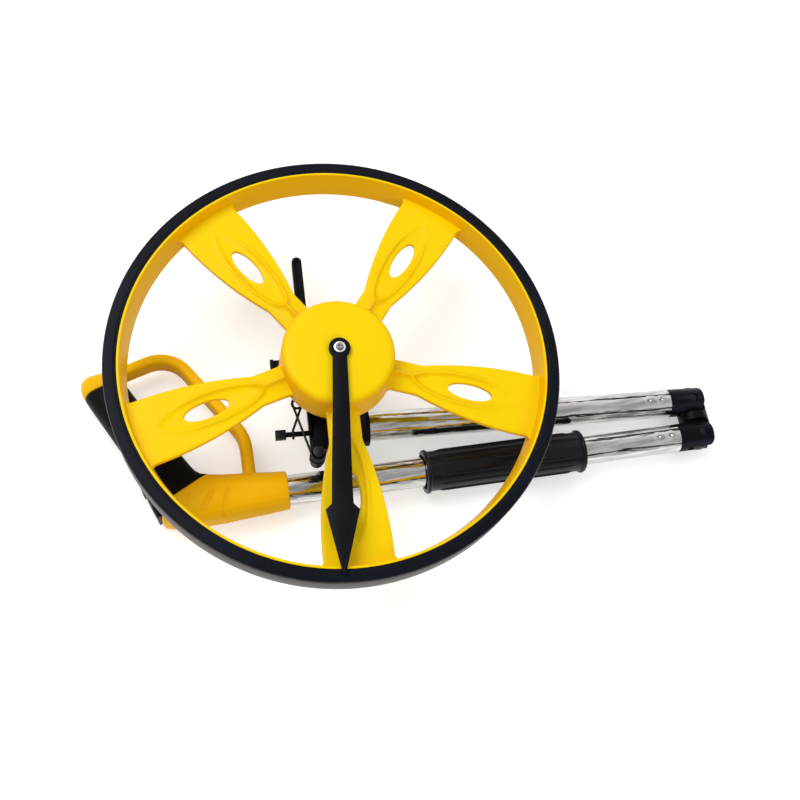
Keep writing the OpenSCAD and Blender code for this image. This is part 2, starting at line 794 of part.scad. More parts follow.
module pole(x0, x1) {
  difference() {
    x_rod(tube_r, x0, x1);
    x_rod(tube_bore_r, x0 - 1, x1 + 1);
    for (d = lock_pin_x)
      translate([x1 - d, 0, 0]) cylinder(d = lock_pin_d + 2 * seat_gap, h = tube_r + 1);
  }
}

// Plan of a knuckle: square on its outer side, round on the side that rolls past the link
module knuckle_plan() {
  polygon(concat([[-knuckle_len, tube_r]],
                 arc([knuckle_reach - knuckle_round, tube_r - knuckle_round], knuckle_round, 90, 0, 6),
                 arc([0, knuckle_reach - tube_r], knuckle_reach, 0, -90, 10),
                 [[-knuckle_len, -tube_r]]));
}

// Knuckle with its pin at the origin, its tube along -x and the link on its -y side
module knuckle() {
  difference() {
    union() {
      intersection() {
        x_rod(tube_r, -knuckle_len, tube_r);
        translate([0, 0, -tube_r]) linear_extrude(2 * tube_r) knuckle_plan();
      }
      x_rod(tube_bore_r - seat_gap, -knuckle_len - shank_len, -knuckle_len + eps);
    }
    translate([-tube_r - 1, -tube_r - 1, -tongue_t / 2 - free_gap])
      cube([2 * tube_r + 3, 2 * tube_r + 2, tongue_t + 2 * free_gap]);
    translate([0, 0, -tube_r - 1]) cylinder(d = hinge_pin_d + 2 * seat_gap, h = 2 * tube_r + 2);
    for (d = lock_pin_x)
      translate([-knuckle_len - d, 0, 0]) cylinder(d = lock_pin_d + 2 * seat_gap, h = tube_r + 1);
  }
}

module hinge_pin() {
  length = 2 * sqrt(pow(tube_r, 2) - pow(hinge_pin_d / 2, 2)) - 0.4;
  color(steel) translate([0, 0, -length / 2]) cylinder(d = hinge_pin_d, h = length);
}

// Locking pins driven through the tube wall into the shank, with a dished head
module lock_pins() {
  color(steel)
    for (d = lock_pin_x)
      translate([-knuckle_len - d, 0, 0])
        difference() {
          translate([0, 0, seat_gap]) cylinder(d = lock_pin_d, h = tube_r - 0.4);
          translate([0, 0, tube_r + 1.2]) sphere(r = 2.2);
        }
}

module at_pin_a() {
  translate([pin_a[0], pin_a[1], tube_z]) children();
}

module at_pin_b() {
  in_handle() translate([mouth_to_pin, 0, 0]) children();
}

module lower_tube() {
  color(steel) translate([0, tube_y, tube_z]) pole(lower_tube_start, lower_tube_end);
}

module lower_knuckle() {
  color(black) at_pin_a() knuckle();
}

module lower_lock_pins() {
  at_pin_a() lock_pins();
}

module lower_hinge_pin() {
  at_pin_a() hinge_pin();
}

// Plan of the link's body: a full-width middle, with outer shoulders that end where the knuckles turn
module link_plan() {
  middle = link_len - 2 * tube_r - 2 * free_gap;
  turn_r = norm([knuckle_reach - knuckle_round, tube_r - knuckle_round]) + knuckle_round + free_gap;
  translate([link_len / 2 - middle / 2, -tube_r]) square([middle, 2 * tube_r]);
  difference() {
    square([link_len, tube_r]);
    for (x = [0, link_len])
      translate([x, 0]) circle(turn_r);
  }
}

// Link between the two pins: thin tongues at both ends and a shouldered body between them
module fold_link() {
  tongue_r = tube_r - free_gap;
  color(black)
    translate([pin_a[0], pin_a[1], tube_z])
      rotate([0, 0, splay / 2 - 90])
        difference() {
          union() {
            for (x = [0, link_len])
              translate([x, 0, -tongue_t / 2]) cylinder(r = tongue_r, h = tongue_t);
            translate([0, -tongue_r, -tongue_t / 2]) cube([link_len, 2 * tongue_r, tongue_t]);
            intersection() {
              x_rod(tube_r, 0, link_len);
              translate([0, 0, -tube_r]) linear_extrude(2 * tube_r) link_plan();
            }
          }
          for (x = [0, link_len])
            translate([x, 0, -tongue_t]) cylinder(d = hinge_pin_d + 2 * run_gap, h = 2 * tongue_t);
        }
}

module upper_hinge_pin() {
  at_pin_b() hinge_pin();
}

module upper_knuckle() {
  color(black) at_pin_b() mirror([0, 1, 0]) knuckle();
}

module upper_lock_pins() {
  at_pin_b() lock_pins();
}

module upper_tube() {
  color(steel) in_handle() pole(-tube_seat, upper_tube_end);
}

// Sleeve that slides over the opened hinge to lock it straight; its beads lie on the resting plane
module lock_sleeve() {
  bead_r = tube_z;
  rib_h = 0.5;
  rib_len = sleeve_len - 2 * sleeve_bead_w - 10;
  mouth = 4;
  color(black)
    in_handle()
      translate([sleeve_x, 0, 0])
        difference() {
          union() {
            x_rod(sleeve_d / 2, 0, sleeve_len);
            for (x = [0, sleeve_len - sleeve_bead_w])
              x_rod(bead_r, x, x + sleeve_bead_w);
            for (i = [0 : sleeve_ribs - 1])
              rotate([i * 360 / sleeve_ribs, 0, 0])
                translate([(sleeve_len - rib_len) / 2, -1.2, sleeve_d / 2 - 1])
                  cube([rib_len, 2.4, 1 + rib_h]);
          }
          x_rod(tube_r + run_gap, -1, sleeve_len + 1);
          for (x = [-1, sleeve_len - mouth])
            x_rod(tube_r + 1.6, x, x + mouth + 1);
        }
}

// Handle: a neck that bends into the grip, with a hand guard that closes the loop

corner = [-neck_len, 0];
grip_dir = [cos(grip_angle), sin(grip_angle)];
grip_side = [grip_dir[1], -grip_dir[0]];
side_angle = grip_angle - 90;
function on_grip(t, w) = corner + t * grip_dir + w * grip_side;

// The inner edge of the bend is an arc between the neck line and the grip line
bend_t = grip_bend * tan((180 - grip_angle) / 2);
neck_r = handle_depth / 2 + 0.5;
mouth_r = mouth_d / 2;
inner_bend_r = grip_bend - neck_r;
bend_start = [corner[0] + bend_t, neck_r];
rubber_start = (bend_start - corner) * grip_dir;
rubber_end = grip_len - 10.5;
heel_w = 21.7;
grip_in = 15;
grip_out = 16.2;
flat_end = display_h + 2;
heel_foot = on_grip(0, -heel_w);
face_angle = side_angle - display_lean;

// Widths of the grip to the guard side and to the heel side, and its half depth
function grip_w_in(t) = t < bend_t
  ? grip_bend - sqrt(pow(inner_bend_r, 2) - pow(bend_t - t, 2))
  : lookup(t, [[bend_t, neck_r], [bend_t + 28, grip_in], [grip_len, grip_in - 0.7]]);
function grip_w_out(t) = lookup(t, [[0, heel_w], [flat_end, heel_w - flat_end * tan(display_lean)],
  [flat_end + 17, grip_out], [grip_len, grip_out - 0.7]]);
function grip_depth(t) = lookup(t, [[bend_t, handle_depth / 2], [grip_len, handle_depth / 2 - 0.7]]);
function grip_power(t) = lookup(t, [[flat_end, 4.5], [flat_end + 17, 2.8]]);
// Lean of a section across the grip, to follow the guard at the end of the rubber
function grip_lean(t) = lookup(t, [[grip_len * 0.55, 0], [rubber_end, 2.4], [grip_len + 5, 2.4]]);

// A section is [inner end, outer end, half depth, roundness], drawn in by an inset
function section_between(p_in, p_out, d, e, inset) =
  let (v = unit(p_out - p_in)) [p_in + inset * v, p_out - inset * v, d - inset, e];
function grip_section(t, inset, shrink = 1) =
  let (w_in = grip_w_in(t), w_out = grip_w_out(t), m = (w_in - w_out) / 2, h = (w_in + w_out) / 2 * shrink)
  section_between(on_grip(t - grip_lean(t), m + h), on_grip(t + grip_lean(t), m - h),
                  grip_depth(t) * shrink, grip_power(t), inset);

// Neck: from the round mouth to the start of the bend
neck_steps = 3;
fan_run = 8;
fan_x = bend_start[0] + fan_run;
neck_sections = [for (i = [0 : neck_steps - 1])
  let (f = i / neck_steps, r = mouth_r + (neck_r - mouth_r) * f)
  section_between([fan_x * f, r], [fan_x * f, -r], mouth_r + (handle_depth / 2 - mouth_r) * f, 2 + 0.7 * f, 0)];

// Heel: sections fan out round the start of the bend, to the underside and then to the display face
fan_steps = 5;
function soft_min(a, b) = pow(pow(a, -14) + pow(b, -14), -1 / 14);
heel_sections = [for (i = [0 : fan_steps])
  let (f = i / fan_steps, a = 90 + (side_angle - 90) * f, p = [fan_x - fan_run * f, neck_r],
       to_display = (p - heel_foot) * [cos(face_angle), sin(face_angle)] / cos(a - face_angle),
       reach = soft_min(2 * neck_r / sin(a), to_display))
  section_between(p, p - reach * [cos(a), sin(a)], handle_depth / 2, 2.7 + 1.8 * f, 0)];

// Stations along the grip, closer where it curves
grip_stations = concat([for (i = [1 : 3]) rubber_start + (bend_t - rubber_start) * i / 3],
                       [flat_end - 4, flat_end + 5, flat_end + 11, flat_end + 17],
                       [for (i = [1 : 3]) flat_end + 17 + (rubber_end - flat_end - 23) * i / 3]);

// Rounded end of the grip
cap_len = grip_len + 4.5 - rubber_end;
cap_steps = 5;
cap_sections = [for (i = [0 : cap_steps])
  let (f = 0.97 * sin(90 * i / cap_steps)) grip_section(rubber_end + cap_len * f, 0, pow(1 - pow(f, 2.6), 1 / 2.6))];

function grip_sections(t0, t1, inset) = concat(
  [grip_section(t0, inset)], [for (t = grip_stations) if (t > t0 + 0.5 && t < t1 - 0.5) grip_section(t, inset)],
  [grip_section(t1, inset)]);

body_sections = concat(neck_sections, heel_sections,
                       grip_sections(rubber_start + seat_gap, rubber_end - seat_gap, rubber_t), cap_sections);

// Points round a section: all of it, or the half on one side of the parting plane
full_n = 20;
half_n = 10;
function soft(v, e) = sign(v) * pow(abs(v), 2 / e);
function section_point(s, a) =
  let (u = soft(cos(a), s[3]), c = (s[0] + s[1]) / 2, h = (s[0] - s[1]) / 2)
  [c[0] + u * h[0], c[1] + u * h[1], s[2] * soft(sin(a), s[3])];
function full_ring(s) = [for (k = [0 : full_n - 1]) section_point(s, -360 * k / full_n)];
function half_ring(s, skirt) = concat([[s[1][0], s[1][1], -skirt]],
  [for (k = [half_n : -1 : 0]) section_point(s, 180 * k / half_n)], [[s[0][0], s[0][1], -skirt]]);

// Half of a loft, with a straight skirt that runs past the parting plane
module half_loft(sections, skirt) {
  polyhedron([for (s = sections) for (q = half_ring(s, skirt)) q], tube_faces(len(sections), half_n + 3));
}

module full_loft(sections) {
  polyhedron([for (s = sections) for (q = full_ring(s)) q], tube_faces(len(sections), full_n));
}

// Hand guard: from the neck up, over the fingers and back to the end of the grip
function turn_angle(a, b) = let (t = atan2(b[1], b[0]) - atan2(a[1], a[0])) t > 180 ? t - 360 : t < -180 ? t + 360 : t;
function corner_arc(p0, p1, p2, r, n) =
  let (d0 = unit(p1 - p0), d1 = unit(p2 - p1), turn = turn_angle(d0, d1), side = sign(turn),
       start = p1 - d0 * r * tan(abs(turn) / 2), c = start + side * r * [-d0[1], d0[0]],
       a0 = atan2(start[1] - c[1], start[0] - c[0]))
  arc(c, r, a0, a0 + turn, n);
guard_foot = [-26, mouth_r - 1];
guard_knee = [-26, 43.5];
guard_top = [-72.5, 115.9];
guard_end = on_grip(grip_len - 2, 2);
guard_path = concat([guard_foot], corner_arc(guard_foot, guard_knee, guard_top, 30, 4),
                    corner_arc(guard_knee, guard_top, guard_end, 24, 7), [guard_end]);
function plan_normal(p, i) = let (t = unit(p[min(i + 1, len(p) - 1)] - p[max(i - 1, 0)])) [t[1], -t[0]];
guard_sections = [for (i = [0 : len(guard_path) - 1])
  let (m = plan_normal(guard_path, i) * guard_w / 2)
  [guard_path[i] + m, guard_path[i] - m, guard_depth / 2, 3]];

// Face of the heel that carries the display
display_c = heel_foot + (display_h / 2 + 0.5) * [-sin(face_angle), cos(face_angle)];
module in_display() {
  translate([display_c[0], display_c[1], 0]) rotate([0, 0, face_angle + 180]) children();
}

// Rounded plate in the display frame between two depths
module display_plate(h, w, r, x0, x1, y = 0) {
  translate([x0, y, 0]) rotate([90, 0, 90]) linear_extrude(x1 - x0) round_rect(h, w, r);
}

frame_back = -4;
frame_front = 1.2;
flange_t = 0.8;
flange_w = 0.5;
flange_back = frame_back + button_travel - flange_t / 2;
board_front = flange_back - button_travel - free_gap;
board_back = board_front - board_t;
window_round = 1;
lens_back = -0.6;
window_y = 4;
button_y = -9;

module display_pocket() {
  in_display() {
    display_plate(display_h + 2 * free_gap, display_w + 2 * free_gap, 3, frame_back - seat_gap, 20);
    display_plate(display_h - 2, display_w - 2, 1, board_back - 2, frame_back + 1);
  }
}

// Battery bay on the back of the grip
bay_along = 66;
bay_shift = -0.6;
bay_c = on_grip(bay_along, bay_shift);
bay_len = 56;
bay_w = 15;
bay_reach = 40;
module in_bay() {
  translate([bay_c[0], bay_c[1], 0]) rotate([0, 0, grip_angle]) children();
}

cover_depth = 4.2;
cover_inner_z = -handle_depth / 2 + cover_depth;
module bay_cut(grow) {
  in_bay()
    translate([0, 0, -bay_reach])
      linear_extrude(bay_reach + cover_inner_z + grow)
        round_rect(bay_len + 2 * grow, bay_w + 2 * grow, 2);
}

// Opening through the shell, with a ledge all round for the cover
ledge_end = 9;
ledge_side = 2;
bay_clear = 3.5;
module bay_opening() {
  in_bay()
    translate([-bay_len / 2 + ledge_end, -bay_w / 2 + ledge_side, -bay_reach])
      cube([bay_len - 2 * ledge_end, bay_w - 2 * ledge_side, bay_reach - tray_depth / 2 + bay_clear]);
}

screw_places = [[-66, -6], on_grip(grip_len - 3, -5), (guard_knee + guard_top) / 2, [-26, 28]];
shell_screw_r = 1.3;
screw_head_r = 2.4;

module screw_shafts(r, z0, z1) {
  for (p = screw_places) translate([p[0], p[1], z0]) cylinder(r = r, h = z1 - z0);
}

// One half of the yellow shell, drawn on the front side of the parting plane
module half_shell() {
  difference() {
    union() {
      half_loft(body_sections, 1);
      half_loft(guard_sections, 2);
    }
    half_loft(grip_sections(rubber_start + 4, rubber_end - 4, rubber_t + shell_wall), 3);
    translate([-200, -60, -10]) cube([260, 220, 10 + seat_gap / 2]);
    x_rod(tube_r + seat_gap, -tube_seat - seat_gap, 10);
    display_pocket();
  }
}

module front_shell() {
  color(yellow)
    in_handle()
      difference() {
        half_shell();
        screw_shafts(shell_screw_r + seat_gap, -1, 5);
      }
}

module rear_shell() {
  color(yellow)
    in_handle()
      difference() {
        mirror([0, 0, 1]) half_shell();
        bay_cut(free_gap);
        bay_opening();
        screw_shafts(shell_screw_r + seat_gap, -30, 1);
        screw_shafts(screw_head_r + seat_gap, -30, -3);
      }
}

// Rubber sleeve: an outer and an inner loft joined at both ends
module grip_rubber() {
  gap = 2 * seat_gap;
  outer = grip_sections(rubber_start + gap, rubber_end - gap, 0);
  inner = grip_sections(rubber_start + gap, rubber_end - gap, rubber_t - seat_gap);
  m = len(outer);
  n = full_n;
  points = concat([for (s = outer) for (q = full_ring(s)) q], [for (s = inner) for (q = full_ring(s)) q]);
  o = m * n;
  e = (m - 1) * n;
  faces = concat(
    [for (i = [0 : m - 2], k = [0 : n - 1]) [i * n + k, (i + 1) * n + k, i * n + (k + 1) % n]],
    [for (i = [0 : m - 2], k = [0 : n - 1]) [i * n + (k + 1) % n, (i + 1) * n + k, (i + 1) * n + (k + 1) % n]],
    [for (i = [0 : m - 2], k = [0 : n - 1]) [o + i * n + k, o + i * n + (k + 1) % n, o + (i + 1) * n + k]],
    [for (i = [0 : m - 2], k = [0 : n - 1]) [o + i * n + (k + 1) % n, o + (i + 1) * n + (k + 1) % n, o + (i + 1) * n + k]],
    [for (k = [0 : n - 1]) [k, (k + 1) % n, o + k]],
    [for (k = [0 : n - 1]) [(k + 1) % n, o + (k + 1) % n, o + k]],
    [for (k = [0 : n - 1]) [e + k, o + e + k, e + (k + 1) % n]],
    [for (k = [0 : n - 1]) [e + (k + 1) % n, o + e + k, o + e + (k + 1) % n]]);
  color(black)
    in_handle()
      difference() {
        polyhedron(points, faces);
        display_pocket();
        bay_cut(free_gap);
      }
}

module shell_screws() {
  color(steel)
    in_handle() {
      screw_shafts(shell_screw_r, -4, 4.5);
      screw_shafts(screw_head_r, -5, -3 - seat_gap);
    }
}

// Display

module display_frame() {
  color(black)
    in_handle()
      in_display()
        difference() {
          display_plate(display_h, display_w, 3, frame_back, frame_front);
          display_plate(window_h, window_w, window_round, frame_back - 1, frame_front + 1, window_y);
          for (i = [-1 : 1])
            translate([0, button_y, i * button_pitch]) {
              x_rod(button_d / 2 + run_gap, frame_back - 1, frame_front + 1);
              x_rod(button_d / 2 + flange_w + run_gap, frame_back - 1, flange_back + flange_t + free_gap);
            }
        }
}

module display_lens() {
  color([0.6, 0.65, 0.6, 0.5])
    in_handle()
      in_display()
        display_plate(window_h - 2 * seat_gap, window_w - 2 * seat_gap, window_round - seat_gap,
                      lens_back, frame_front - free_gap, window_y);
}

module lcd_panel() {
  color([0.55, 0.62, 0.52])
    in_handle()
      in_display()
        display_plate(window_h - 2 * seat_gap, window_w - 2 * seat_gap, window_round - seat_gap,
                      frame_back + free_gap, lens_back - seat_gap, window_y);
}

module display_board() {
  color([0.08, 0.35, 0.18])
    in_handle()
      in_display()
        display_plate(display_h - 3, display_w - 3, 1, board_back, board_front);
}

module button(i) {
  cap_top = frame_front + 1;
  color([0.42, 0.43, 0.45])
    in_handle()
      in_display()
        translate([0, button_y, i * button_pitch]) {
          x_rod(button_d / 2, flange_back, cap_top);
          x_rod(button_d / 2 + flange_w, flange_back, flange_back + flange_t);
        }
}

module power_button() {
  button(-1);
}

module zero_button() {
  button(0);
}

module unit_button() {
  button(1);
}

// Two cells, one over the other, in a tray behind a cover in the back of the grip

cell_gap = 0.4;
cell_step = (battery_d + cell_gap) / 2;
tray_wall = 1.5;
tray_w = battery_d + 2 * tray_wall;
tray_depth = 19;
tray_end = 4;
contact_t = 2;
contact_r = battery_d / 2 - 1;
cell_cap_r = 2.6;
cell_cap_h = 1;

module cells(r, x0, x1) {
  for (s = [-1, 1]) translate([0, 0, s * cell_step]) x_rod(r, x0, x1);
}

module battery_tray() {
  x = battery_len / 2 + tray_end;
  color([0.15, 0.15, 0.16])
    in_handle()
      in_bay()
        difference() {
          translate([-x, -tray_w / 2, -tray_depth / 2]) cube([2 * x, tray_w, tray_depth]);
          cells(battery_d / 2 + run_gap, -x + tray_end - contact_t, x - tray_end + contact_t);
        }
}

module batteries() {
  color([0.72, 0.45, 0.2])
    in_handle()
      in_bay() {
        cells(battery_d / 2, -battery_len / 2, battery_len / 2 - cell_cap_h);
        cells(cell_cap_r, battery_len / 2 - cell_cap_h - eps, battery_len / 2);
      }
}

module battery_contacts() {
  color(steel)
    in_handle()
      in_bay() {
        cells(contact_r, -battery_len / 2 - contact_t + seat_gap, -battery_len / 2 - seat_gap);
        cells(contact_r, battery_len / 2 + seat_gap, battery_len / 2 + contact_t - seat_gap);
      }
}

battery_screw_inset = 5;
battery_screw_x = bay_len / 2 - battery_screw_inset;
battery_screw_head = 1.6;
battery_screw_r = 1.2;
battery_head_r = 2.3;
battery_head_t = 1.4;

module battery_cover() {
  color(black)
    in_handle()
      difference() {
        intersection() {
          full_loft(grip_sections(flat_end - 4, rubber_end - 2, 0));
          bay_cut(0);
        }
        in_bay() translate([battery_screw_x, 0, -bay_reach]) cylinder(r = battery_screw_r + seat_gap, h = bay_reach);
        in_bay()
          translate([battery_screw_x, 0, -bay_reach])
            cylinder(r = battery_head_r + seat_gap, h = bay_reach + cover_inner_z - battery_screw_head);
      }
}

module battery_screw() {
  color(steel)
    in_handle()
      in_bay()
        translate([battery_screw_x, 0, cover_inner_z - battery_screw_head]) {
          translate([0, 0, -battery_head_t]) cylinder(r = battery_head_r, h = battery_head_t - seat_gap);
          translate([0, 0, -battery_head_t / 2])
            cylinder(r = battery_screw_r, h = battery_head_t / 2 + battery_screw_head);
        }
}

tyre();
spoked_wheel();
bearing_outer_rings();
bearing_balls();
hub_spacer();
magnet_ring();
bearing_inner_rings();
axle_spacer();
axle_bolt();
axle_nut();
axle_clip();
pointer();
pointer_washer();
pointer_screw();
axle_bracket();
bracket_cover();
bracket_screws();
sensor_board();
stand_leg();
stand_pin();
spring_post();
stand_spring();
lower_tube();
lower_knuckle();
lower_lock_pins();
lower_hinge_pin();
fold_link();
upper_hinge_pin();
upper_knuckle();
upper_lock_pins();
upper_tube();
lock_sleeve();
front_shell();
rear_shell();
grip_rubber();
shell_screws();
display_frame();
display_lens();
lcd_panel();
display_board();
power_button();
zero_button();
unit_button();
battery_tray();
batteries();
battery_contacts();
battery_cover();
battery_screw();
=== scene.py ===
import json
import math
from contextlib import contextmanager

import bpy
from mathutils import Matrix, Vector
from mathutils.kdtree import KDTree


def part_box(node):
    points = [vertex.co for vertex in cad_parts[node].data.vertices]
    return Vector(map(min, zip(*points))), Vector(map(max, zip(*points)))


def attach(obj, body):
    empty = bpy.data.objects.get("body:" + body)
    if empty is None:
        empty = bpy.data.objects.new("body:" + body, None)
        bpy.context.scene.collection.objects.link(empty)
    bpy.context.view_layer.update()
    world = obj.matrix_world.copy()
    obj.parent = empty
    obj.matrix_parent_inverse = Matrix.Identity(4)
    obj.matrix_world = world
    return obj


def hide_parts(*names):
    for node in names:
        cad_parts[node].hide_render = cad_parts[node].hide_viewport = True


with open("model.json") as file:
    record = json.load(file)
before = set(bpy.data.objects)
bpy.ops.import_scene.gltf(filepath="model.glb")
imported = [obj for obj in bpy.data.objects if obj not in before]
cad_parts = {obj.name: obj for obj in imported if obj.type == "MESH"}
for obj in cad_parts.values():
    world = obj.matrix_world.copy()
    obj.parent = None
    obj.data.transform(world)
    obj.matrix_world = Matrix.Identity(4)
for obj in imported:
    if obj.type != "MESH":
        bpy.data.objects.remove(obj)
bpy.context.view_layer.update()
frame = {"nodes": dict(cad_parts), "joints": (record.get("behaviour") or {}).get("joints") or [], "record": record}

bl_info = {
    "name": "Folding measuring wheel",
    "version": (1, 0, 0),
    "blender": (4, 5, 0),
    "location": "View3D > Sidebar > Measuring wheel",
    "description": "Dresses a folding digital measuring wheel and sets it on a pale studio floor",
    "category": "Object",
}

MM = 0.001
MERGE = 1e-6
NODES = frame["nodes"]
JOINTS = {joint["name"]: joint for joint in frame["joints"]}
BODIES = frame["record"]["behaviour"]["bodies"]
NODE_BODY = {node: body for body, nodes in BODIES.items() for node in nodes}

# Places and sizes that the frame gives
WHEEL_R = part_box("tyre")[1].x
WHEEL_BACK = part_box("tyre")[0].z
WHEEL_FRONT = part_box("tyre")[1].z
RIM_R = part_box("spoked_wheel")[1].x
HUB_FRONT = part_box("spoked_wheel")[1].z
TUBE_R = (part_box("lower_tube")[1].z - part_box("lower_tube")[0].z) / 2
WHEEL_PIN = Vector(JOINTS["fold_wheel_side"]["pos_m"])
HANDLE_PIN = Vector(JOINTS["fold_handle_side"]["pos_m"])
TUBE_DIRECTION = Vector(JOINTS["sleeve_slide"]["axis"])
TUBE_TURN = math.atan2(TUBE_DIRECTION.y, TUBE_DIRECTION.x)
STAND_PIVOT = Vector(JOINTS["stand_swing"]["pos_m"])


def length(name, description, default):
    """A size in metres, written here in millimetres."""
    return bpy.props.FloatProperty(
        name=name, description=description, default=default * MM, unit="LENGTH", precision=5)


def colour(name, description, default):
    """A linear colour."""
    return bpy.props.FloatVectorProperty(
        name=name, description=description, default=default, subtype="COLOR", size=3, min=0, max=1)


def number(name, description, default, low):
    """A count of like forms."""
    return bpy.props.IntProperty(name=name, description=description, default=default, min=low)


class MeasuringWheelForms(bpy.types.PropertyGroup):
    """Sizes of the modelled pieces"""

    rim_thickness: length("Rim thickness", "Radial thickness of the moulded rim", 3.9)
    rim_lip: length("Rim lip", "Width of the rim's thin front edge", 1.7)
    tyre_shoulder: length("Tyre shoulder", "Radius of the tyre's shoulders", 1.8)
    pip_radius: length("Pip radius", "Radius of the moulded pips on the tyre", 1.1)
    pip_count: number("Pips", "Number of moulded pips on the tyre", 8, 1)
    spoke_count: number("Spokes", "Number of spokes", 5, 3)
    spoke_phase: bpy.props.FloatProperty(
        name="First spoke", description="Angle of the first spoke", default=math.radians(53.8),
        subtype="ANGLE")
    spoke_neck: length("Spoke neck", "Width of a spoke beside the hub", 23)
    spoke_end: length("Spoke end", "Width of a spoke at the rim", 47.5)
    spoke_flare: length("Spoke flare", "Radius at which a spoke starts to flare", 60)
    spoke_plate: length("Spoke plate", "Thickness of the spoke plate", 4.5)
    spoke_recess: length("Spoke recess", "Depth of the spokes below the front of the rim", 10)
    ridge_height: length("Ridge height", "Height of the ridge round a spoke's opening", 2.2)
    ridge_width: length("Ridge width", "Width of the ridge round a spoke's opening", 2.6)
    opening_radius: length("Opening radius", "Radius at which a spoke's opening is centred", 97)
    opening_length: length("Opening length", "Length of a spoke's opening", 32)
    opening_width: length("Opening width", "Width of a spoke's opening", 11.6)
    hub_radius: length("Hub radius", "Radius of the hub drum at the back", 40.75)
    hub_draft: length("Hub draft", "Radius that the hub drum loses towards its face", 1.4)
    hub_round: length("Hub rounding", "Radius of the hub's front edge", 5.5)
    hub_wall: length("Hub wall", "Wall thickness of the hub", 3)
    hub_boss: length("Hub boss", "Radius of the bearing boss in the hub", 15)
    tube_wall: length("Tube wall", "Wall thickness of the tubes", 1.2)
    dimple_start: length("First dimple", "Distance of the first punched dimple from the tube's end", 8.5)
    dimple_pitch: length("Dimple pitch", "Distance between the two dimples of a tube", 10)
    dimple_depth: length("Dimple depth", "Depth of a punched dimple", 0.5)
    knuckle_length: length("Knuckle length", "Distance from a hinge pin back to the end of its tube", 19)
    mouth_to_pin: length("Mouth to pin", "Distance from the handle's mouth to its hinge pin", 323.8)
    groove_width: length("Groove width", "Width of the slanted grooves on the handle's neck", 1.9)
    groove_depth: length("Groove depth", "Depth of the slanted grooves on the handle's neck", 1.3)
    sleeve_radius: length("Sleeve radius", "Radius of the lock sleeve between its beads", 15)
    sleeve_bead: length("Sleeve bead", "Width of a bead at the sleeve's end", 3.4)
    sleeve_ribs: number("Sleeve ribs", "Number of ribs along the lock sleeve", 12, 3)
    spring_wire: length("Spring wire", "Wire diameter of the stand spring", 1.8)
    bracket_edge: length("Bracket edge", "Width of the bracket's rounded edges", 0.6)
    hinge_edge: length("Hinge edge", "Width of the rounded edges of the knuckles and their link", 0.9)
    moulded_edge: length("Moulded edge", "Width of the rounded edges of pointer, stand and buttons", 0.5)
    pin_edge: length("Pin edge", "Width of the rounded edges of pins and the battery cover", 0.3)
    screw_edge: length("Screw edge", "Width of the rounded edges of small screws and the lens", 0.15)


class MeasuringWheelFinishes(bpy.types.PropertyGroup):
    """Colours of the finishes"""

    wheel_yellow: colour("Wheel yellow", "Colour of the moulded wheel", (0.94, 0.65, 0.0005))
    handle_yellow: colour("Handle yellow", "Colour of the handle shells", (0.98, 0.54, 0.001))
    tyre_black: colour("Tyre black", "Colour of the tyre", (0.004, 0.005, 0.008))
    # The tread grey is painted light: it stands in for the pale floor's light on the tread
    tread_grey: colour("Tread grey", "Colour of the dusty tread", (0.055, 0.050, 0.047))
    moulded_black: colour("Moulded black", "Colour of the black plastic parts", (0.003, 0.003, 0.005))
    sleeve_black: colour("Sleeve black", "Colour of the lock sleeve", (0.004, 0.004, 0.007))
    grip_black: colour("Grip black", "Colour of the rubber grip", (0.004, 0.004, 0.004))
    chrome: colour("Chrome", "Colour of the chromed tubes", (0.62, 0.61, 0.59))
    steel: colour("Steel", "Colour of bare steel", (0.60, 0.60, 0.60))
    board_green: colour("Board green", "Colour of the circuit boards", (0.02, 0.16, 0.06))
    panel_grey: colour("Panel grey", "Colour of the display panel", (0.30, 0.36, 0.27))
    button_grey: colour("Button grey", "Colour of the buttons", (0.15, 0.155, 0.17))
    # Deeper orange painted as shade on the upright walls and in the recesses of the yellow parts
    painted_shade_amber: colour("Wall amber", "Deeper tone of the yellow walls and recesses", (0.86, 0.38, 0.001))
    blackened: colour("Blackened steel", "Colour of the spring and the dark pins", (0.03, 0.03, 0.034))
    washer_bright: colour("Bright washer", "Colour of the pointer's plated washer", (0.90, 0.90, 0.89))
    digit_black: colour("Digit black", "Colour of the display's digits", (0.010, 0.012, 0.010))
    cell_copper: colour("Cell copper", "Colour of the battery jackets", (0.55, 0.28, 0.10))
    magnet_grey: colour("Magnet grey", "Colour of the magnet ring", (0.12, 0.12, 0.13))
    lens_clear: colour("Clear lens", "Tint of the display's clear lens", (0.97, 0.99, 0.97))
    floor_pale: colour("Pale floor", "Colour of the studio floor", (0.86, 0.86, 0.86))


class MeasuringWheelStage(bpy.types.PropertyGroup):
    """Floor, lamps and camera"""

    floor_size: bpy.props.FloatProperty(
        name="Floor size", description="Edge of the square floor", default=12, unit="LENGTH")
    floor_glow: bpy.props.FloatProperty(
        name="Floor glow", description="White that the floor adds to what the camera sees of it",
        default=0.42, min=0, max=1)
    sky_level: bpy.props.FloatProperty(
        name="Sky level", description="Strength of the soft light from all round", default=1.0, min=0)
    key_power: bpy.props.FloatProperty(
        name="Key power", description="Power of the large lamp", default=13, unit="POWER")
    fill_power: bpy.props.FloatProperty(
        name="Fill power", description="Power of the small lamp", default=7, unit="POWER")
    camera_place: bpy.props.FloatVectorProperty(
        name="Camera place", description="Where the camera stands", subtype="TRANSLATION",
        default=(-0.07746, -0.27041, 0.69483))
    camera_turn: bpy.props.FloatVectorProperty(
        name="Camera turn", description="How the camera is turned", subtype="EULER",
        default=(math.radians(21.748), math.radians(-7.875), math.radians(-7.53)))
    camera_lens: bpy.props.FloatProperty(
        name="Camera lens", description="Focal length", default=43.4475, unit="CAMERA")
    camera_sensor: bpy.props.FloatProperty(
        name="Camera sensor", description="Width of the camera's sensor", default=36, unit="CAMERA")


# Mesh helpers

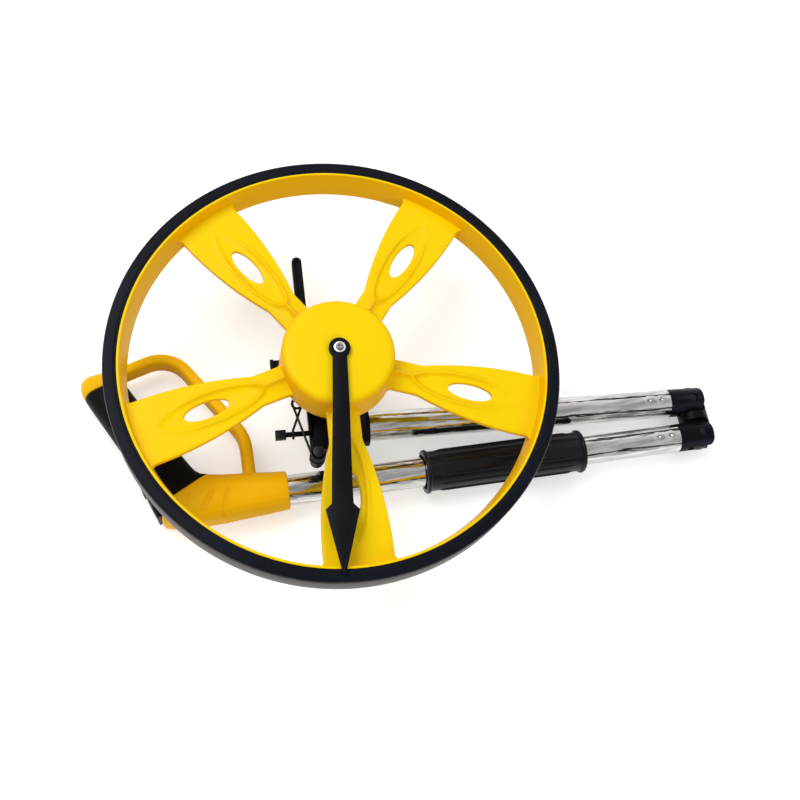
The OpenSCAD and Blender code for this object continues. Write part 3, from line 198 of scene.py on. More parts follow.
def clear_selection():
    """Leaves edit mode with nothing selected."""
    if bpy.context.mode != "OBJECT":
        bpy.ops.object.mode_set(mode="OBJECT")
    bpy.ops.object.select_all(action="DESELECT")


def activate(piece):
    """Makes one piece the only one selected, and the active one."""
    clear_selection()
    piece.select_set(True)
    bpy.context.view_layer.objects.active = piece


@contextmanager
def editing(piece):
    """Edit mode with all of a piece selected."""
    activate(piece)
    bpy.ops.object.mode_set(mode="EDIT")
    bpy.ops.mesh.select_all(action="SELECT")
    yield
    bpy.ops.object.mode_set(mode="OBJECT")


def take_new(name):
    """Names the primitive that was just added."""
    piece = bpy.context.object
    piece.name = name
    piece.data.name = name
    return piece


def close_mesh(piece, turn_outwards=True):
    """Merges doubled vertices, and turns the faces outwards."""
    with editing(piece):
        bpy.ops.mesh.remove_doubles(threshold=MERGE)
        if turn_outwards:
            bpy.ops.mesh.normals_make_consistent(inside=False)
    return piece


def shaped_grid(name, columns, rows, place):
    """A grid whose points go where place(share of the columns, row number) puts them, closed at its seams."""
    clear_selection()
    bpy.ops.mesh.primitive_grid_add(x_subdivisions=columns, y_subdivisions=rows, size=2)
    piece = take_new(name)
    if len(piece.data.vertices) != (columns + 1) * (rows + 1):
        raise RuntimeError(f"{name}: the grid has {len(piece.data.vertices)} points")
    for vertex in piece.data.vertices:
        column = (vertex.co.x + 1) / 2
        row = round((vertex.co.y + 1) / 2 * rows)
        vertex.co = place(column, row)
    return close_mesh(piece)


def soft_section(corners, cuts=4):
    """Closed outline through (x, y, radius) corners, each rounded by an arc."""
    points = []
    for index, (x, y, radius) in enumerate(corners):
        here = Vector((x, y))
        if radius <= 0:
            points.append(here)
            continue
        back = (Vector(corners[index - 1][:2]) - here).normalized()
        ahead = (Vector(corners[(index + 1) % len(corners)][:2]) - here).normalized()
        half = back.angle(ahead) / 2
        middle = here + (back + ahead).normalized() * (radius / math.sin(half))
        reach = radius / math.tan(half)
        start = here + back * reach - middle
        end = here + ahead * reach - middle
        first = math.atan2(start.y, start.x)
        sweep = math.atan2(start.cross(end), start.dot(end))
        for cut in range(cuts + 1):
            angle = first + sweep * cut / cuts
            points.append(middle + radius * Vector((math.cos(angle), math.sin(angle))))
    return points


def spun_ring(name, section, steps):
    """A closed (radius, height) section spun once round the Z axis."""
    clear_selection()
    bpy.ops.mesh.primitive_circle_add(vertices=len(section), radius=1)
    piece = take_new(name)
    for vertex, (radius, height) in zip(piece.data.vertices, section):
        vertex.co = (radius, 0, height)
    with editing(piece):
        bpy.ops.mesh.spin(steps=steps, angle=2 * math.pi, center=(0, 0, 0), axis=(0, 0, 1))
    return close_mesh(piece)


def joined(name, parts):
    """One piece out of several."""
    activate(parts[0])
    for part in parts[1:]:
        part.select_set(True)
    bpy.ops.object.join()
    return take_new(name)


def copies(first, places):
    """Copies of one piece, each with its own mesh, put where the matrices say. The first one goes."""
    parts = []
    for place in places:
        part = first.copy()
        part.data = first.data.copy()
        part.data.transform(place)
        bpy.context.scene.collection.objects.link(part)
        parts.append(part)
    bpy.data.objects.remove(first)
    return parts


def turned(count, start=0.0):
    """Turns that set a number of pieces evenly round the Z axis."""
    return [Matrix.Rotation(start + 2 * math.pi * index / count, 4, "Z") for index in range(count)]


def node_copy(node, name):
    """A merged copy of a solid's mesh, to be worked on."""
    clear_selection()
    piece = bpy.data.objects.new(name, NODES[node].data.copy())
    piece.data.name = name
    bpy.context.scene.collection.objects.link(piece)
    piece.data.materials.clear()
    activate(piece)
    bpy.ops.mesh.customdata_custom_splitnormals_clear()
    return close_mesh(piece, turn_outwards=False)


def apply_modifiers(piece):
    """Applies every modifier of a piece in order."""
    activate(piece)
    for modifier in list(piece.modifiers):
        bpy.ops.object.modifier_apply(modifier=modifier.name)
    return piece


def flatten_faces(piece, angle=0.6):
    """Dissolves the triangles of flat faces into whole faces."""
    with editing(piece):
        bpy.ops.mesh.dissolve_limited(angle_limit=math.radians(angle))


def round_edges(piece, width, segments=3, angle=32):
    """Rounds the sharp edges of a piece."""
    bevel = piece.modifiers.new("Rounded edges", "BEVEL")
    bevel.width = width
    bevel.segments = segments
    bevel.limit_method = "ANGLE"
    bevel.angle_limit = math.radians(angle)
    bevel.miter_outer = "MITER_ARC"
    return apply_modifiers(piece)


def soft_skin(piece, voxel=0.75 * MM, relax=6):
    """Runs the faces of a piece together into one soft skin."""
    skin = piece.modifiers.new("Skin", "REMESH")
    skin.mode = "VOXEL"
    skin.voxel_size = voxel
    soften = piece.modifiers.new("Soften", "SMOOTH")
    soften.factor = 0.5
    soften.iterations = relax
    return apply_modifiers(piece)


def shade(piece, angle=35):
    """Smooth shading that keeps the edges that bend by more than an angle, in degrees, sharp."""
    activate(piece)
    bpy.ops.object.shade_smooth_by_angle(angle=math.radians(angle))
    return piece


def dress(piece, body, slot, material, *replaced):
    """Gives a piece its finish and its body, and hides the solids that it stands for."""
    piece.data.materials.clear()
    piece.data.materials.append(material)
    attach(piece, body)
    if replaced:
        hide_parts(*replaced)
    return piece


def dress_copy(node, name, slot, material, width=0.0, segments=3):
    """Stands a copy of a solid, with rounded edges, in its place."""
    piece = node_copy(node, name)
    if width:
        flatten_faces(piece)
        round_edges(piece, width, segments)
    shade(piece)
    return dress(piece, NODE_BODY[node], slot, material, node)


def paint_node(node, material):
    """Gives a solid that stays as it is its finish."""
    mesh = NODES[node].data
    mesh.materials.clear()
    mesh.materials.append(material)


def smoothstep(share):
    """Eased step from 0 to 1."""
    share = min(1.0, max(0.0, share))
    return share * share * (3 - 2 * share)


def fillet(distance, radius):
    """Rise of a concave fillet at a distance from the wall that it runs up."""
    gap = radius - min(radius, max(0.0, distance))
    return radius - math.sqrt(radius * radius - gap * gap)


# Node groups and materials

GRAIN_DEPTH = 0.2 * MM
METAL_DEPTH = 0.1 * MM


class Nodes:
    """A node tree, with short ways to add nodes and to feed their inputs."""

    def __init__(self, tree):
        self.tree = tree

    def feed(self, socket, source):
        """Links an input to an output, or sets its value."""
        if isinstance(source, bpy.types.NodeSocket):
            self.tree.links.new(source, socket)
        elif socket.type == "RGBA":
            socket.default_value = (*source, 1.0)
        else:
            socket.default_value = source

    def node(self, kind, **values):
        """Adds a node, sets its properties, and feeds the inputs, which are named with a leading capital."""
        node = self.tree.nodes.new(kind)
        for key, value in values.items():
            if key[0].isupper():
                self.feed(node.inputs[key.replace("_", " ")], value)
            else:
                setattr(node, key, value)
        return node

    def place(self):
        """Where a point lies on the piece."""
        return self.node("ShaderNodeTexCoord").outputs["Object"]

    def noise(self, place, scale, detail, **more):
        """Cloudy noise."""
        node = self.node("ShaderNodeTexNoise", Vector=place, Scale=scale, Detail=detail, **more)
        return node.outputs["Fac"]

    def ranged(self, source, low, high, start=0.0, end=1.0):
        """A value that goes from start to end as its source goes from low to high."""
        node = self.node(
            "ShaderNodeMapRange", Value=source, From_Min=low, From_Max=high, To_Min=start, To_Max=end)
        return node.outputs["Result"]

    def calculate(self, operation, *sources):
        """The result of a Math node."""
        node = self.node("ShaderNodeMath", operation=operation)
        for socket, source in zip(node.inputs, sources):
            self.feed(socket, source)
        return node.outputs[0]

    def scaled(self, source, factor):
        """A mask times a number."""
        return self.calculate("MULTIPLY", source, factor)

    def pointiness(self):
        """How far a surface is bent, with 0.5 where it is flat."""
        return self.node("ShaderNodeNewGeometry").outputs["Pointiness"]


def node_group(name, inputs, outputs):
    """Turns a function that gives a group's outputs into one that gives the group, built at its first use."""
    def wrap(work_out):
        def build():
            if name in bpy.data.node_groups:
                return bpy.data.node_groups[name]
            tree = bpy.data.node_groups.new(name, "ShaderNodeTree")
            for socket, default in inputs.items():
                added = tree.interface.new_socket(socket, in_out="INPUT", socket_type="NodeSocketFloat")
                added.default_value = default
            for socket in outputs:
                tree.interface.new_socket(socket, in_out="OUTPUT", socket_type="NodeSocketFloat")
            nodes = Nodes(tree)
            given = tree.nodes.new("NodeGroupInput").outputs
            result = tree.nodes.new("NodeGroupOutput").inputs
            for socket, source in zip(outputs, work_out(nodes, given)):
                nodes.feed(result[socket], source)
            return tree
        return build
    return wrap


@node_group("Moulded grain", {"Grain": 900.0, "Patch": 18.0, "Gloss": 0.4, "Spread": 0.1},
            ("Height", "Flow", "Roughness"))
def moulded_grain(nodes, given):
    """Fine moulded grain, soft flow patches and the gloss that follows them."""
    place = nodes.place()
    grain = nodes.noise(place, given["Grain"], detail=3.0)
    patch = nodes.noise(place, given["Patch"], detail=4.0, Roughness=0.6)
    swing = nodes.calculate("SUBTRACT", patch, 0.5)
    gloss = nodes.calculate("MULTIPLY_ADD", swing, given["Spread"], given["Gloss"])
    flow = nodes.ranged(patch, low=0.35, high=0.7)
    return grain, flow, gloss


@node_group("Rubbed edges", {"Low": 0.53, "High": 0.62, "Break up": 60.0}, ("Mask",))
def rubbed_edges(nodes, given):
    """Mask of edges that handling has rubbed."""
    mask = nodes.ranged(nodes.pointiness(), given["Low"], given["High"])
    return [nodes.scaled(mask, nodes.noise(nodes.place(), given["Break up"], detail=3.0))]


@node_group("Painted recess shade", {"Low": 0.44, "High": 0.495}, ("Mask",))
def recesses(nodes, given):
    """Mask of recesses and inner corners, where the finishes paint shade."""
    return [nodes.ranged(nodes.pointiness(), given["Low"], given["High"], start=1.0, end=0.0)]


@node_group("Painted wall shade", {"Low": 0.35, "High": 0.95}, ("Mask",))
def painted_wall_shade(nodes, given):
    """Mask of the walls that stand upright, where a deeper orange is mixed in as painted shade."""
    facing = nodes.node("ShaderNodeTexCoord").outputs["Normal"]
    split = nodes.node("ShaderNodeSeparateXYZ", Vector=facing)
    level = nodes.calculate("ABSOLUTE", split.outputs["Z"])
    return [nodes.ranged(level, given["Low"], given["High"], start=1.0, end=0.0)]


class Finish(Nodes):
    """A material in the making: its Principled shader and the nodes that feed it."""

    def __init__(self, name):
        self.material = bpy.data.materials.new(name)
        self.material.use_nodes = True
        super().__init__(self.material.node_tree)
        self.shader = self.tree.nodes["Principled BSDF"]

    def set(self, **values):
        """Sets or feeds the shader's own sockets."""
        for key, value in values.items():
            self.feed(self.shader.inputs[key.replace("_", " ")], value)

    def group(self, tree, **values):
        """The outputs of a node group that is placed with its own values."""
        return self.node("ShaderNodeGroup", node_tree=tree, **values).outputs

    def mix(self, share, first, second):
        """Colour that goes from first to second by a mask."""
        node = self.node("ShaderNodeMix", data_type="RGBA")
        for index, source in ((0, share), (6, first), (7, second)):
            self.feed(node.inputs[index], source)
        return node.outputs[2]

    def bump(self, height, strength, distance):
        node = self.node("ShaderNodeBump", Strength=strength, Distance=distance, Height=height)
        self.set(Normal=node.outputs["Normal"])


def material(name):
    """Turns a function that fills in a finish into one that gives the material, built at its first use."""
    def wrap(fill):
        def build():
            if name not in bpy.data.materials:
                fill(Finish(name))
            return bpy.data.materials[name]
        return build
    return wrap


def finishes():
    """The colours that a user can change."""
    return bpy.context.scene.measuring_wheel_finishes


def forms():
    """The sizes that a user can change."""
    return bpy.context.scene.measuring_wheel_forms


def shade_of(tint, *factors):
    """A tint made darker or lighter, by one factor or by one for each channel."""
    if len(factors) == 1:
        factors *= len(tint)
    return tuple(min(1.0, channel * factor) for channel, factor in zip(tint, factors))


def moulded(finish, tint, deep, gloss, spread, grain, bump, patch=18.0, specular=0.08,
            rub=None, painted_shade=None, wall_shade_share=0.6):
    """Moulded plastic or rubber with flow patches, fine grain and, where given, rubbed edges and a deeper orange
    painted as shade on upright walls and in recesses.
    """
    flow_share = 0.6
    recess_shade_share = 0.6
    skin = finish.group(moulded_grain(), Grain=grain, Patch=patch, Gloss=gloss, Spread=spread)
    tone = finish.mix(finish.scaled(skin["Flow"], flow_share), tint, deep)
    # Painted shade: upright walls and recesses are mixed towards the deeper orange
    if painted_shade is not None:
        walls = finish.group(painted_wall_shade())
        tone = finish.mix(finish.scaled(walls["Mask"], wall_shade_share), tone, painted_shade)
        shaded_hollows = finish.group(recesses())
        tone = finish.mix(finish.scaled(shaded_hollows["Mask"], recess_shade_share), tone, painted_shade)
    if rub is not None:
        tone = finish.mix(finish.group(rubbed_edges())["Mask"], tone, rub)
    finish.set(Base_Color=tone, Roughness=skin["Roughness"], Specular_IOR_Level=specular)
    finish.bump(skin["Height"], bump, GRAIN_DEPTH)


@material("Wheel yellow plastic")
def wheel_yellow(finish):
    tint = finishes().wheel_yellow
    # The deeper orange paints shade on its upright walls and in its recesses
    moulded(finish, tint, shade_of(tint, 0.98, 0.93, 1.0), gloss=0.34, spread=0.16, grain=1500.0, bump=0.05,
            painted_shade=finishes().painted_shade_amber)


@material("Handle yellow plastic")
def handle_yellow(finish):
    tint = finishes().handle_yellow
    # The deeper orange paints shade on its recesses, and with a smaller share on its upright walls
    moulded(finish, tint, shade_of(tint, 0.97, 0.90, 1.0), gloss=0.42, spread=0.16, grain=1700.0, bump=0.10,
            painted_shade=finishes().painted_shade_amber, wall_shade_share=0.25)


@material("Black moulded plastic")
def moulded_black(finish):
    tint = finishes().moulded_black
    moulded(finish, tint, shade_of(tint, 1.8), gloss=0.36, spread=0.2, grain=1900.0, bump=0.22,
            rub=shade_of(tint, 8))


@material("Pointer textured plastic")
def pointer_black(finish):
    tint = finishes().moulded_black
    moulded(finish, tint, shade_of(tint, 1.9), gloss=0.40, spread=0.2, grain=750.0, bump=0.8,
            rub=shade_of(tint, 8), specular=0.1)


@material("Sleeve plastic")
def sleeve_black(finish):
    tint = finishes().sleeve_black
    moulded(finish, tint, shade_of(tint, 1.7), gloss=0.28, spread=0.2, grain=1800.0, bump=0.12,
            rub=shade_of(tint, 6), specular=0.25)


@material("Grip rubber")
def grip_black(finish):
    tint = finishes().grip_black
    moulded(finish, tint, shade_of(tint, 1.8), gloss=0.55, spread=0.16, grain=1100.0, bump=0.5)


@material("Button rubber")
def button_grey(finish):
    tint = finishes().button_grey
    moulded(finish, tint, shade_of(tint, 0.8), gloss=0.5, spread=0.15, grain=2200.0, bump=0.2, patch=60.0)


@material("Display digits")
def digit_black(finish):
    tint = finishes().digit_black
    moulded(finish, tint, shade_of(tint, 2.0), gloss=0.5, spread=0.1, grain=2500.0, bump=0.05, patch=200.0)


@material("Cell jacket")
def cell_jacket(finish):
    tint = finishes().cell_copper
    moulded(finish, tint, shade_of(tint, 0.7), gloss=0.3, spread=0.15, grain=1200.0, bump=0.1, patch=40.0,
            specular=0.4)


@material("Tyre rubber")
def tyre_rubber(finish):
    """Black rubber whose tread is painted a lighter grey that stands in for the pale floor's light on it."""
    black = finishes().tyre_black
    grey = finishes().tread_grey
    tread_low = WHEEL_R - 1.0 * MM
    tread_high = WHEEL_R - 0.35 * MM
    skin = finish.group(moulded_grain(), Grain=1500.0, Patch=14.0, Gloss=0.36, Spread=0.2)
    flat = finish.node("ShaderNodeVectorMath", operation="MULTIPLY", Vector=finish.place())
    flat.inputs[1].default_value = (1, 1, 0)
    reach = finish.node("ShaderNodeVectorMath", operation="LENGTH", Vector=flat.outputs["Vector"])
    # Painted light: the tread band is mixed to a grey that stands in for the floor's light, varied by flow patches
    tread = finish.ranged(reach.outputs["Value"], tread_low, tread_high)
    side = finish.mix(finish.scaled(skin["Flow"], 0.7), black, shade_of(black, 2.2))
    painted_floor_light = finish.mix(skin["Flow"], shade_of(grey, 0.6), shade_of(grey, 1.7))
    tone = finish.mix(tread, side, painted_floor_light)
    finish.set(Base_Color=tone, Roughness=skin["Roughness"], Specular_IOR_Level=0.07)
    finish.bump(skin["Height"], strength=0.3, distance=GRAIN_DEPTH)


def fine_metal(finish, tint, gloss, spread, grain):
    """Metal with an even fine grain and cloudy gloss."""
    place = finish.place()
    marks = finish.noise(place, grain, detail=4.0)
    cloud = finish.noise(place, scale=30.0, detail=3.0)
    tone = finish.mix(finish.scaled(marks, 0.35), tint, shade_of(tint, 0.82))
    rough = finish.ranged(cloud, low=0.0, high=1.0, start=gloss, end=gloss + spread)
    finish.set(Base_Color=tone, Metallic=1.0, Roughness=rough)
    finish.bump(marks, strength=0.04, distance=METAL_DEPTH)


@material("Turned steel")
def steel(finish):
    fine_metal(finish, finishes().steel, gloss=0.22, spread=0.18, grain=700.0)


@material("Blackened spring steel")
def spring_steel(finish):
    fine_metal(finish, finishes().blackened, gloss=0.3, spread=0.2, grain=400.0)


@material("Dulled screw")
def dark_screw(finish):
    fine_metal(finish, shade_of(finishes().steel, 0.5), gloss=0.35, spread=0.15, grain=700.0)


@material("Bright plating")
def bright_washer(finish):
    fine_metal(finish, finishes().washer_bright, gloss=0.3, spread=0.15, grain=500.0)


@material("Pressed magnet")
def magnet_grey(finish):
    fine_metal(finish, finishes().magnet_grey, gloss=0.45, spread=0.2, grain=900.0)


@material("Chromed tube")
def chrome(finish):
    """A mirror with drawing marks, slanted smears, long soft waves, and dull dimples darkened with painted shade.
    """
    tint = finishes().chrome
    place = finish.place()
    wave_height = 14.0
    mark_height = 0.15
    dimple_roughness = 0.5

    def streaks(scale, detail, slant=0.0):
        """Noise drawn out along the tube, or at a slant to it."""
        drawn = finish.node("ShaderNodeMapping", vector_type="TEXTURE", Vector=place,
                            Scale=[1 / share for share in scale], Rotation=(0, 0, math.radians(slant)))
        return finish.noise(drawn.outputs["Vector"], 1.0, detail)

    marks = streaks((18.0, 1400.0, 1400.0), detail=4.0)
    waves = streaks((22.0, 130.0, 130.0), detail=3.0)
    smears = finish.ranged(streaks((34.0, 330.0, 330.0), detail=3.0, slant=7.0), low=0.42, high=0.6)
    shaded_hollows = finish.group(recesses(), Low=0.45, High=0.49)["Mask"]
    tone = finish.mix(smears, shade_of(tint, 1.25), shade_of(tint, 0.8))
    tone = finish.mix(finish.scaled(marks, 0.4), tone, shade_of(tint, 0.65))
    # Painted shade: the pits of the dimples are darkened nearly to black
    tone = finish.mix(shaded_hollows, tone, shade_of(tint, 0.02))
    rough = finish.ranged(waves, low=0.0, high=1.0, start=0.04, end=0.16)
    dull = finish.calculate("MULTIPLY_ADD", shaded_hollows, dimple_roughness, rough)
    finish.set(Base_Color=tone, Metallic=1.0, Roughness=dull)
    height = finish.calculate("MULTIPLY_ADD", waves, wave_height, finish.scaled(marks, mark_height))
    finish.bump(height, strength=0.6, distance=METAL_DEPTH)


@material("Circuit board")
def board_green(finish):
    """Circuit board with copper tracks under its mask."""
    tint = finishes().board_green
    tracks = finish.node("ShaderNodeTexBrick", Vector=finish.place(), Scale=220.0, Mortar_Size=0.04)
    tone = finish.mix(tracks.outputs["Fac"], tint, shade_of(tint, 2.2))
    finish.set(Base_Color=tone, Roughness=0.35, Coat_Weight=0.3)


@material("Display panel")
def panel_grey(finish):
    """Display panel with its faint pixel grid."""
    tint = finishes().panel_grey
    grid = finish.node("ShaderNodeTexChecker", Vector=finish.place(), Scale=2500.0)
    tone = finish.mix(finish.scaled(grid.outputs["Fac"], 0.4), tint, shade_of(tint, 0.85))
    finish.set(Base_Color=tone, Roughness=0.3)


@material("Clear lens")
def clear_lens(finish):
    """Clear plastic with a trace of haze."""
    skin = finish.group(moulded_grain(), Grain=600.0, Patch=30.0, Gloss=0.04, Spread=0.05)
    finish.set(Base_Color=finishes().lens_clear, Roughness=skin["Roughness"])
    finish.set(Transmission_Weight=1.0, IOR=1.45)


# Wheel

class SpokeShape:
    """Outlines and heights of one spoke that lies along +X. Column 0 is the end at the hub."""

    COLUMNS = 240
    ROOT_STEPS = 16
    FILLET_STEPS = 12
    END_STEPS = 6
    LENS_STEPS = 1600
    LENS_POWER = 1.25
    ROOT_IN_HUB = 0.78
    END_IN_RIM = 0.6
    EDGE = 1.0 * MM
    CREST = 1.5 * MM
    CREST_BLEND = 6
    REAR_HOLLOW = 0.6
    DISH = 1.0 * MM
    DISH_RUN = 5 * MM
    PITCH = 4.5 * MM
    ROOT_FILLET = 5 * MM
    RIM_FILLET = 4 * MM
    RIM_OVERLAP = 0.6 * MM
    FLARE_TO_RIM = 8 * MM
    LENS_BEFORE_FLARE = 5 * MM
    LENS_TO_RIM = 13 * MM
    LENS_MARGIN = 5.2 * MM

    def __init__(self, size):
        self.size = size
        self.neck = size.spoke_neck / 2
        self.rim_inner = RIM_R - size.rim_thickness
        self.hub = size.hub_radius - size.hub_draft
        self.root = self.hub * self.ROOT_IN_HUB
        self.bend = math.sqrt((self.hub + self.ROOT_FILLET) ** 2 - (self.neck + self.ROOT_FILLET) ** 2)
        self.foot = self.bend * self.hub / (self.hub + self.ROOT_FILLET)
        self.end = self.rim_inner + size.rim_thickness * self.END_IN_RIM
        self.top = WHEEL_FRONT - size.spoke_recess
        self.back = self.top - size.spoke_plate
        self.lens_low = size.spoke_flare - self.LENS_BEFORE_FLARE
        self.lens_high = self.rim_inner - self.LENS_TO_RIM
        self.lens_half = size.opening_width / 2 + self.LENS_MARGIN
        self.edge = self.edge_places()
        self.lens_line = KDTree(self.LENS_STEPS)
        for step in range(self.LENS_STEPS):
            turn = 2 * math.pi * step / self.LENS_STEPS
            self.lens_line.insert(self.lens(turn, self.lens_low, self.lens_high, self.lens_half), step)
        self.lens_line.balance()

    def edge_places(self):
        """Radius and share of the width along half of the outline, in even turns round the two fillets."""
        last = math.asin((self.bend - self.foot) / self.ROOT_FILLET)
        foot = []
        shoulder = []
        for step in range(self.FILLET_STEPS + 1):
            foot.append(self.bend - self.ROOT_FILLET * math.sin(last * (1 - step / self.FILLET_STEPS)))
            reach = self.rim_inner - self.RIM_FILLET * (1 - math.sin(math.pi / 2 * step / self.FILLET_STEPS))
            shoulder.append(math.sqrt(reach ** 2 - (self.size.spoke_end / 2) ** 2))
        root = [(self.root, (step / self.ROOT_STEPS) ** 1.5) for step in range(self.ROOT_STEPS + 1)]
        end = [(self.end, 1 - step / self.END_STEPS) for step in range(self.END_STEPS + 1)]
        steps = self.COLUMNS // 2 + 2 - len(root) - len(foot) - len(shoulder) - len(end)
        stride = (shoulder[0] - foot[-1]) / steps
        flank = [foot[-1] + stride * step for step in range(1, steps)]
        return root + [(radius, 1.0) for radius in foot + flank + shoulder] + end

    def turn(self, column):
        """Turn round the lens and the opening, in small steps at their two ends."""
        crowding = 0.3
        share = column / self.COLUMNS
        return 2 * math.pi * share - crowding * math.sin(4 * math.pi * share)

    def lens(self, turn, low, high, half):
        """Point on a lens that reaches from low to high, and half to either side."""
        side = math.sin(turn)
        return Vector(((low + high) / 2 - (high - low) / 2 * math.cos(turn),
                       math.copysign(half * abs(side) ** self.LENS_POWER, side), 0))

    def outer(self, column):
        """Outer edge of the lens."""
        return self.lens(self.turn(column), self.lens_low, self.lens_high, self.lens_half)

    def inner(self, column):
        """Inner edge of the ridge that runs round the lens."""
        trim = 3 * self.size.ridge_width
        return self.lens(self.turn(column), self.lens_low + trim, self.lens_high - trim,
                         self.lens_half - self.size.ridge_width)

    def opening(self, column, grow):
        """Edge of the oval opening, grown by a margin."""
        size = self.size
        turn = self.turn(column)
        return Vector((size.opening_radius - (size.opening_length / 2 + grow) * math.cos(turn),
                       (size.opening_width / 2 + grow) * math.sin(turn), 0))

    def half_width(self, radius):
        """Half of the spoke's width at a radius, with the fillets at its root and at the rim."""
        size = self.size
        share = (radius - size.spoke_flare) / (self.rim_inner - self.FLARE_TO_RIM - size.spoke_flare)
        share = min(1.0, max(0.0, share))
        width = self.neck + (size.spoke_end / 2 - self.neck) * (1 - (1 - share) ** 2)
        root = fillet(self.ROOT_FILLET - self.bend + max(radius, self.foot), self.ROOT_FILLET)
        rim_gap = self.rim_inner + self.RIM_OVERLAP - math.hypot(radius, width)
        return width + root + fillet(rim_gap, self.RIM_FILLET)

    def outline(self, column, inset):
        """Edge of the spoke, drawn in by an inset."""
        radius, share = self.edge[min(column, self.COLUMNS - column)]
        width = (self.half_width(radius) - inset) * share
        radius = min(radius, math.sqrt(self.end ** 2 - width ** 2))
        return Vector((radius, width if column <= self.COLUMNS // 2 else -width, 0))

    def depth_in_lens(self, point):
        """How far a point lies inside the lens, negative outside it."""
        away = self.lens_line.find((point.x, point.y, 0))[2]
        reach = (self.lens_high - self.lens_low) / 2
        share = (point.x - self.lens_low) / reach - 1
        room = max(0.0, 1 - share * share)
        return away if abs(point.y) < self.lens_half * room ** (self.LENS_POWER / 2) else -away

    def crest(self, point):
        """Height of the narrow crest that runs up the neck, splits round the lens and fades at the rim."""
        away = self.depth_in_lens(point)
        past = point.x - self.lens_low
        split_run = 12 * MM
        fade_start = self.lens_high - 34 * MM
        fade_run = 30 * MM
        neck_overlap = 0.5 * MM
        neck_run = 3 * MM
        split = 1 - 0.3 * smoothstep(past / split_run)
        fade = 1 - 0.8 * smoothstep((point.x - fade_start) / fade_run)
        lens = split * fade * math.exp(-(away / self.CREST) ** 2)
        neck = math.exp(-(point.y / self.CREST) ** 2) * (1 - smoothstep((past + neck_overlap) / neck_run))
        blend = self.CREST_BLEND
        return self.size.ridge_height * (lens ** blend + neck ** blend) ** (1 / blend)

    def dish(self, point):
        """Depth of the hollow round the opening."""
        return self.DISH * smoothstep(self.depth_in_lens(point) / self.DISH_RUN)

    def roof(self, point):
        """Height of the pitched neck under its crest, which runs out where the lens starts."""
        reach = self.neck - 0.5 * MM
        ridge_round = 0.3 * MM
        run_out = 28 * MM
        pitch = max(0.0, 1 - math.hypot(point.y, ridge_round) / reach) ** 1.3
        return self.PITCH * pitch * (1 - smoothstep((point.x - self.lens_low + run_out / 2) / run_out))

    def front(self, point):
        """Height of the front face."""
        root_gap = math.hypot(point.x, point.y) - self.hub
        return (self.top + self.crest(point) - self.dish(point) + self.roof(point)
                + fillet(root_gap, self.ROOT_FILLET / 2))

    def rear(self, point):
        """Height of the rear face, which is hollowed under the crest."""
        return self.back + self.REAR_HOLLOW * self.crest(point)

    def rings(self):
        """Functions of column for rings of points: out over the front, down the edge, back over the rear."""
        edge = self.EDGE
        near = 0.3 * edge
        rings = []

        def front(curve, drop=0.0):
            rings.append(lambda column: self.raised(curve(column), self.front, -drop))

        def rear(curve, lift=0.0):
            rings.append(lambda column: self.raised(curve(column), self.rear, lift))

        def between(first, second, share):
            return lambda column: first(column).lerp(second(column), share)

        def hole(grow):
            return lambda column: self.opening(column, grow)

        def rim(inset):
            return lambda column: self.outline(column, inset)

        front(hole(0), edge)
        front(hole(near), near)
        front(hole(edge))
        for share in (0.35, 0.7):
            front(between(hole(edge), self.inner, share))
        for share in (0.0, 0.12, 0.26, 0.4, 0.6, 0.74, 0.88, 1.0):
            front(between(self.inner, self.outer, share))
        for share in (0.05, 0.1, 0.16, 0.24, 0.33, 0.43, 0.55, 0.67, 0.78, 0.88):
            front(between(self.outer, rim(edge), share))
        front(rim(edge))
        front(rim(near), near)
        front(rim(0), edge)
        rear(rim(0), edge)
        rear(rim(near), near)
        rear(rim(edge))
        for share in (0.35, 0.7, 0.92):
            rear(between(rim(edge), self.outer, share))
        for share in (0.0, 0.25, 0.5, 0.75, 1.0):
            rear(between(self.outer, self.inner, share))
        rear(between(self.inner, hole(edge), 0.5))
        rear(hole(edge))
        rear(hole(near), near)
        rear(hole(0), edge)
        return rings

    @staticmethod
    def raised(point, height, shift):
        """A point of an outline, lifted to a face's height and shifted from it."""
        return Vector((point.x, point.y, height(point) + shift))


class MEASURING_WHEEL_OT_tyre(bpy.types.Operator):
    """Model the tyre with its shoulders, its bead line and its moulded pips"""

    bl_idname = "measuring_wheel.tyre"
    bl_label = "Tyre"

    def execute(self, context):
        size = forms()
        face = WHEEL_FRONT
        pip_height = 0.35
        bead = 1.2 * MM
        step = 0.35 * MM
        section = soft_section([
            (RIM_R, WHEEL_BACK, 0.3 * MM), (WHEEL_R, WHEEL_BACK, size.tyre_shoulder),
            (WHEEL_R, face, size.tyre_shoulder), (RIM_R + 2 * bead, face, 0.4 * MM),
            (RIM_R + bead, face - step, 0.3 * MM), (RIM_R, face - step, 0.2 * MM)])
        parts = [spun_ring("tyre_band", section, steps=240)]
        middle = (RIM_R + 2 * bead + WHEEL_R - size.tyre_shoulder) / 2
        clear_selection()
        bpy.ops.mesh.primitive_uv_sphere_add(
            segments=16, ring_count=8, radius=size.pip_radius, location=(middle, 0, face - 0.1 * MM))
        pip = take_new("tyre_pip")
        pip.scale.z = pip_height
        bpy.ops.object.transform_apply(location=True, rotation=True, scale=True)
        parts += copies(pip, turned(size.pip_count, math.pi / size.pip_count))
        tyre = shade(joined("tyre_rubber", parts))
        dress(tyre, "wheel", "tyre", tyre_rubber(), "tyre")
        return {"FINISHED"}


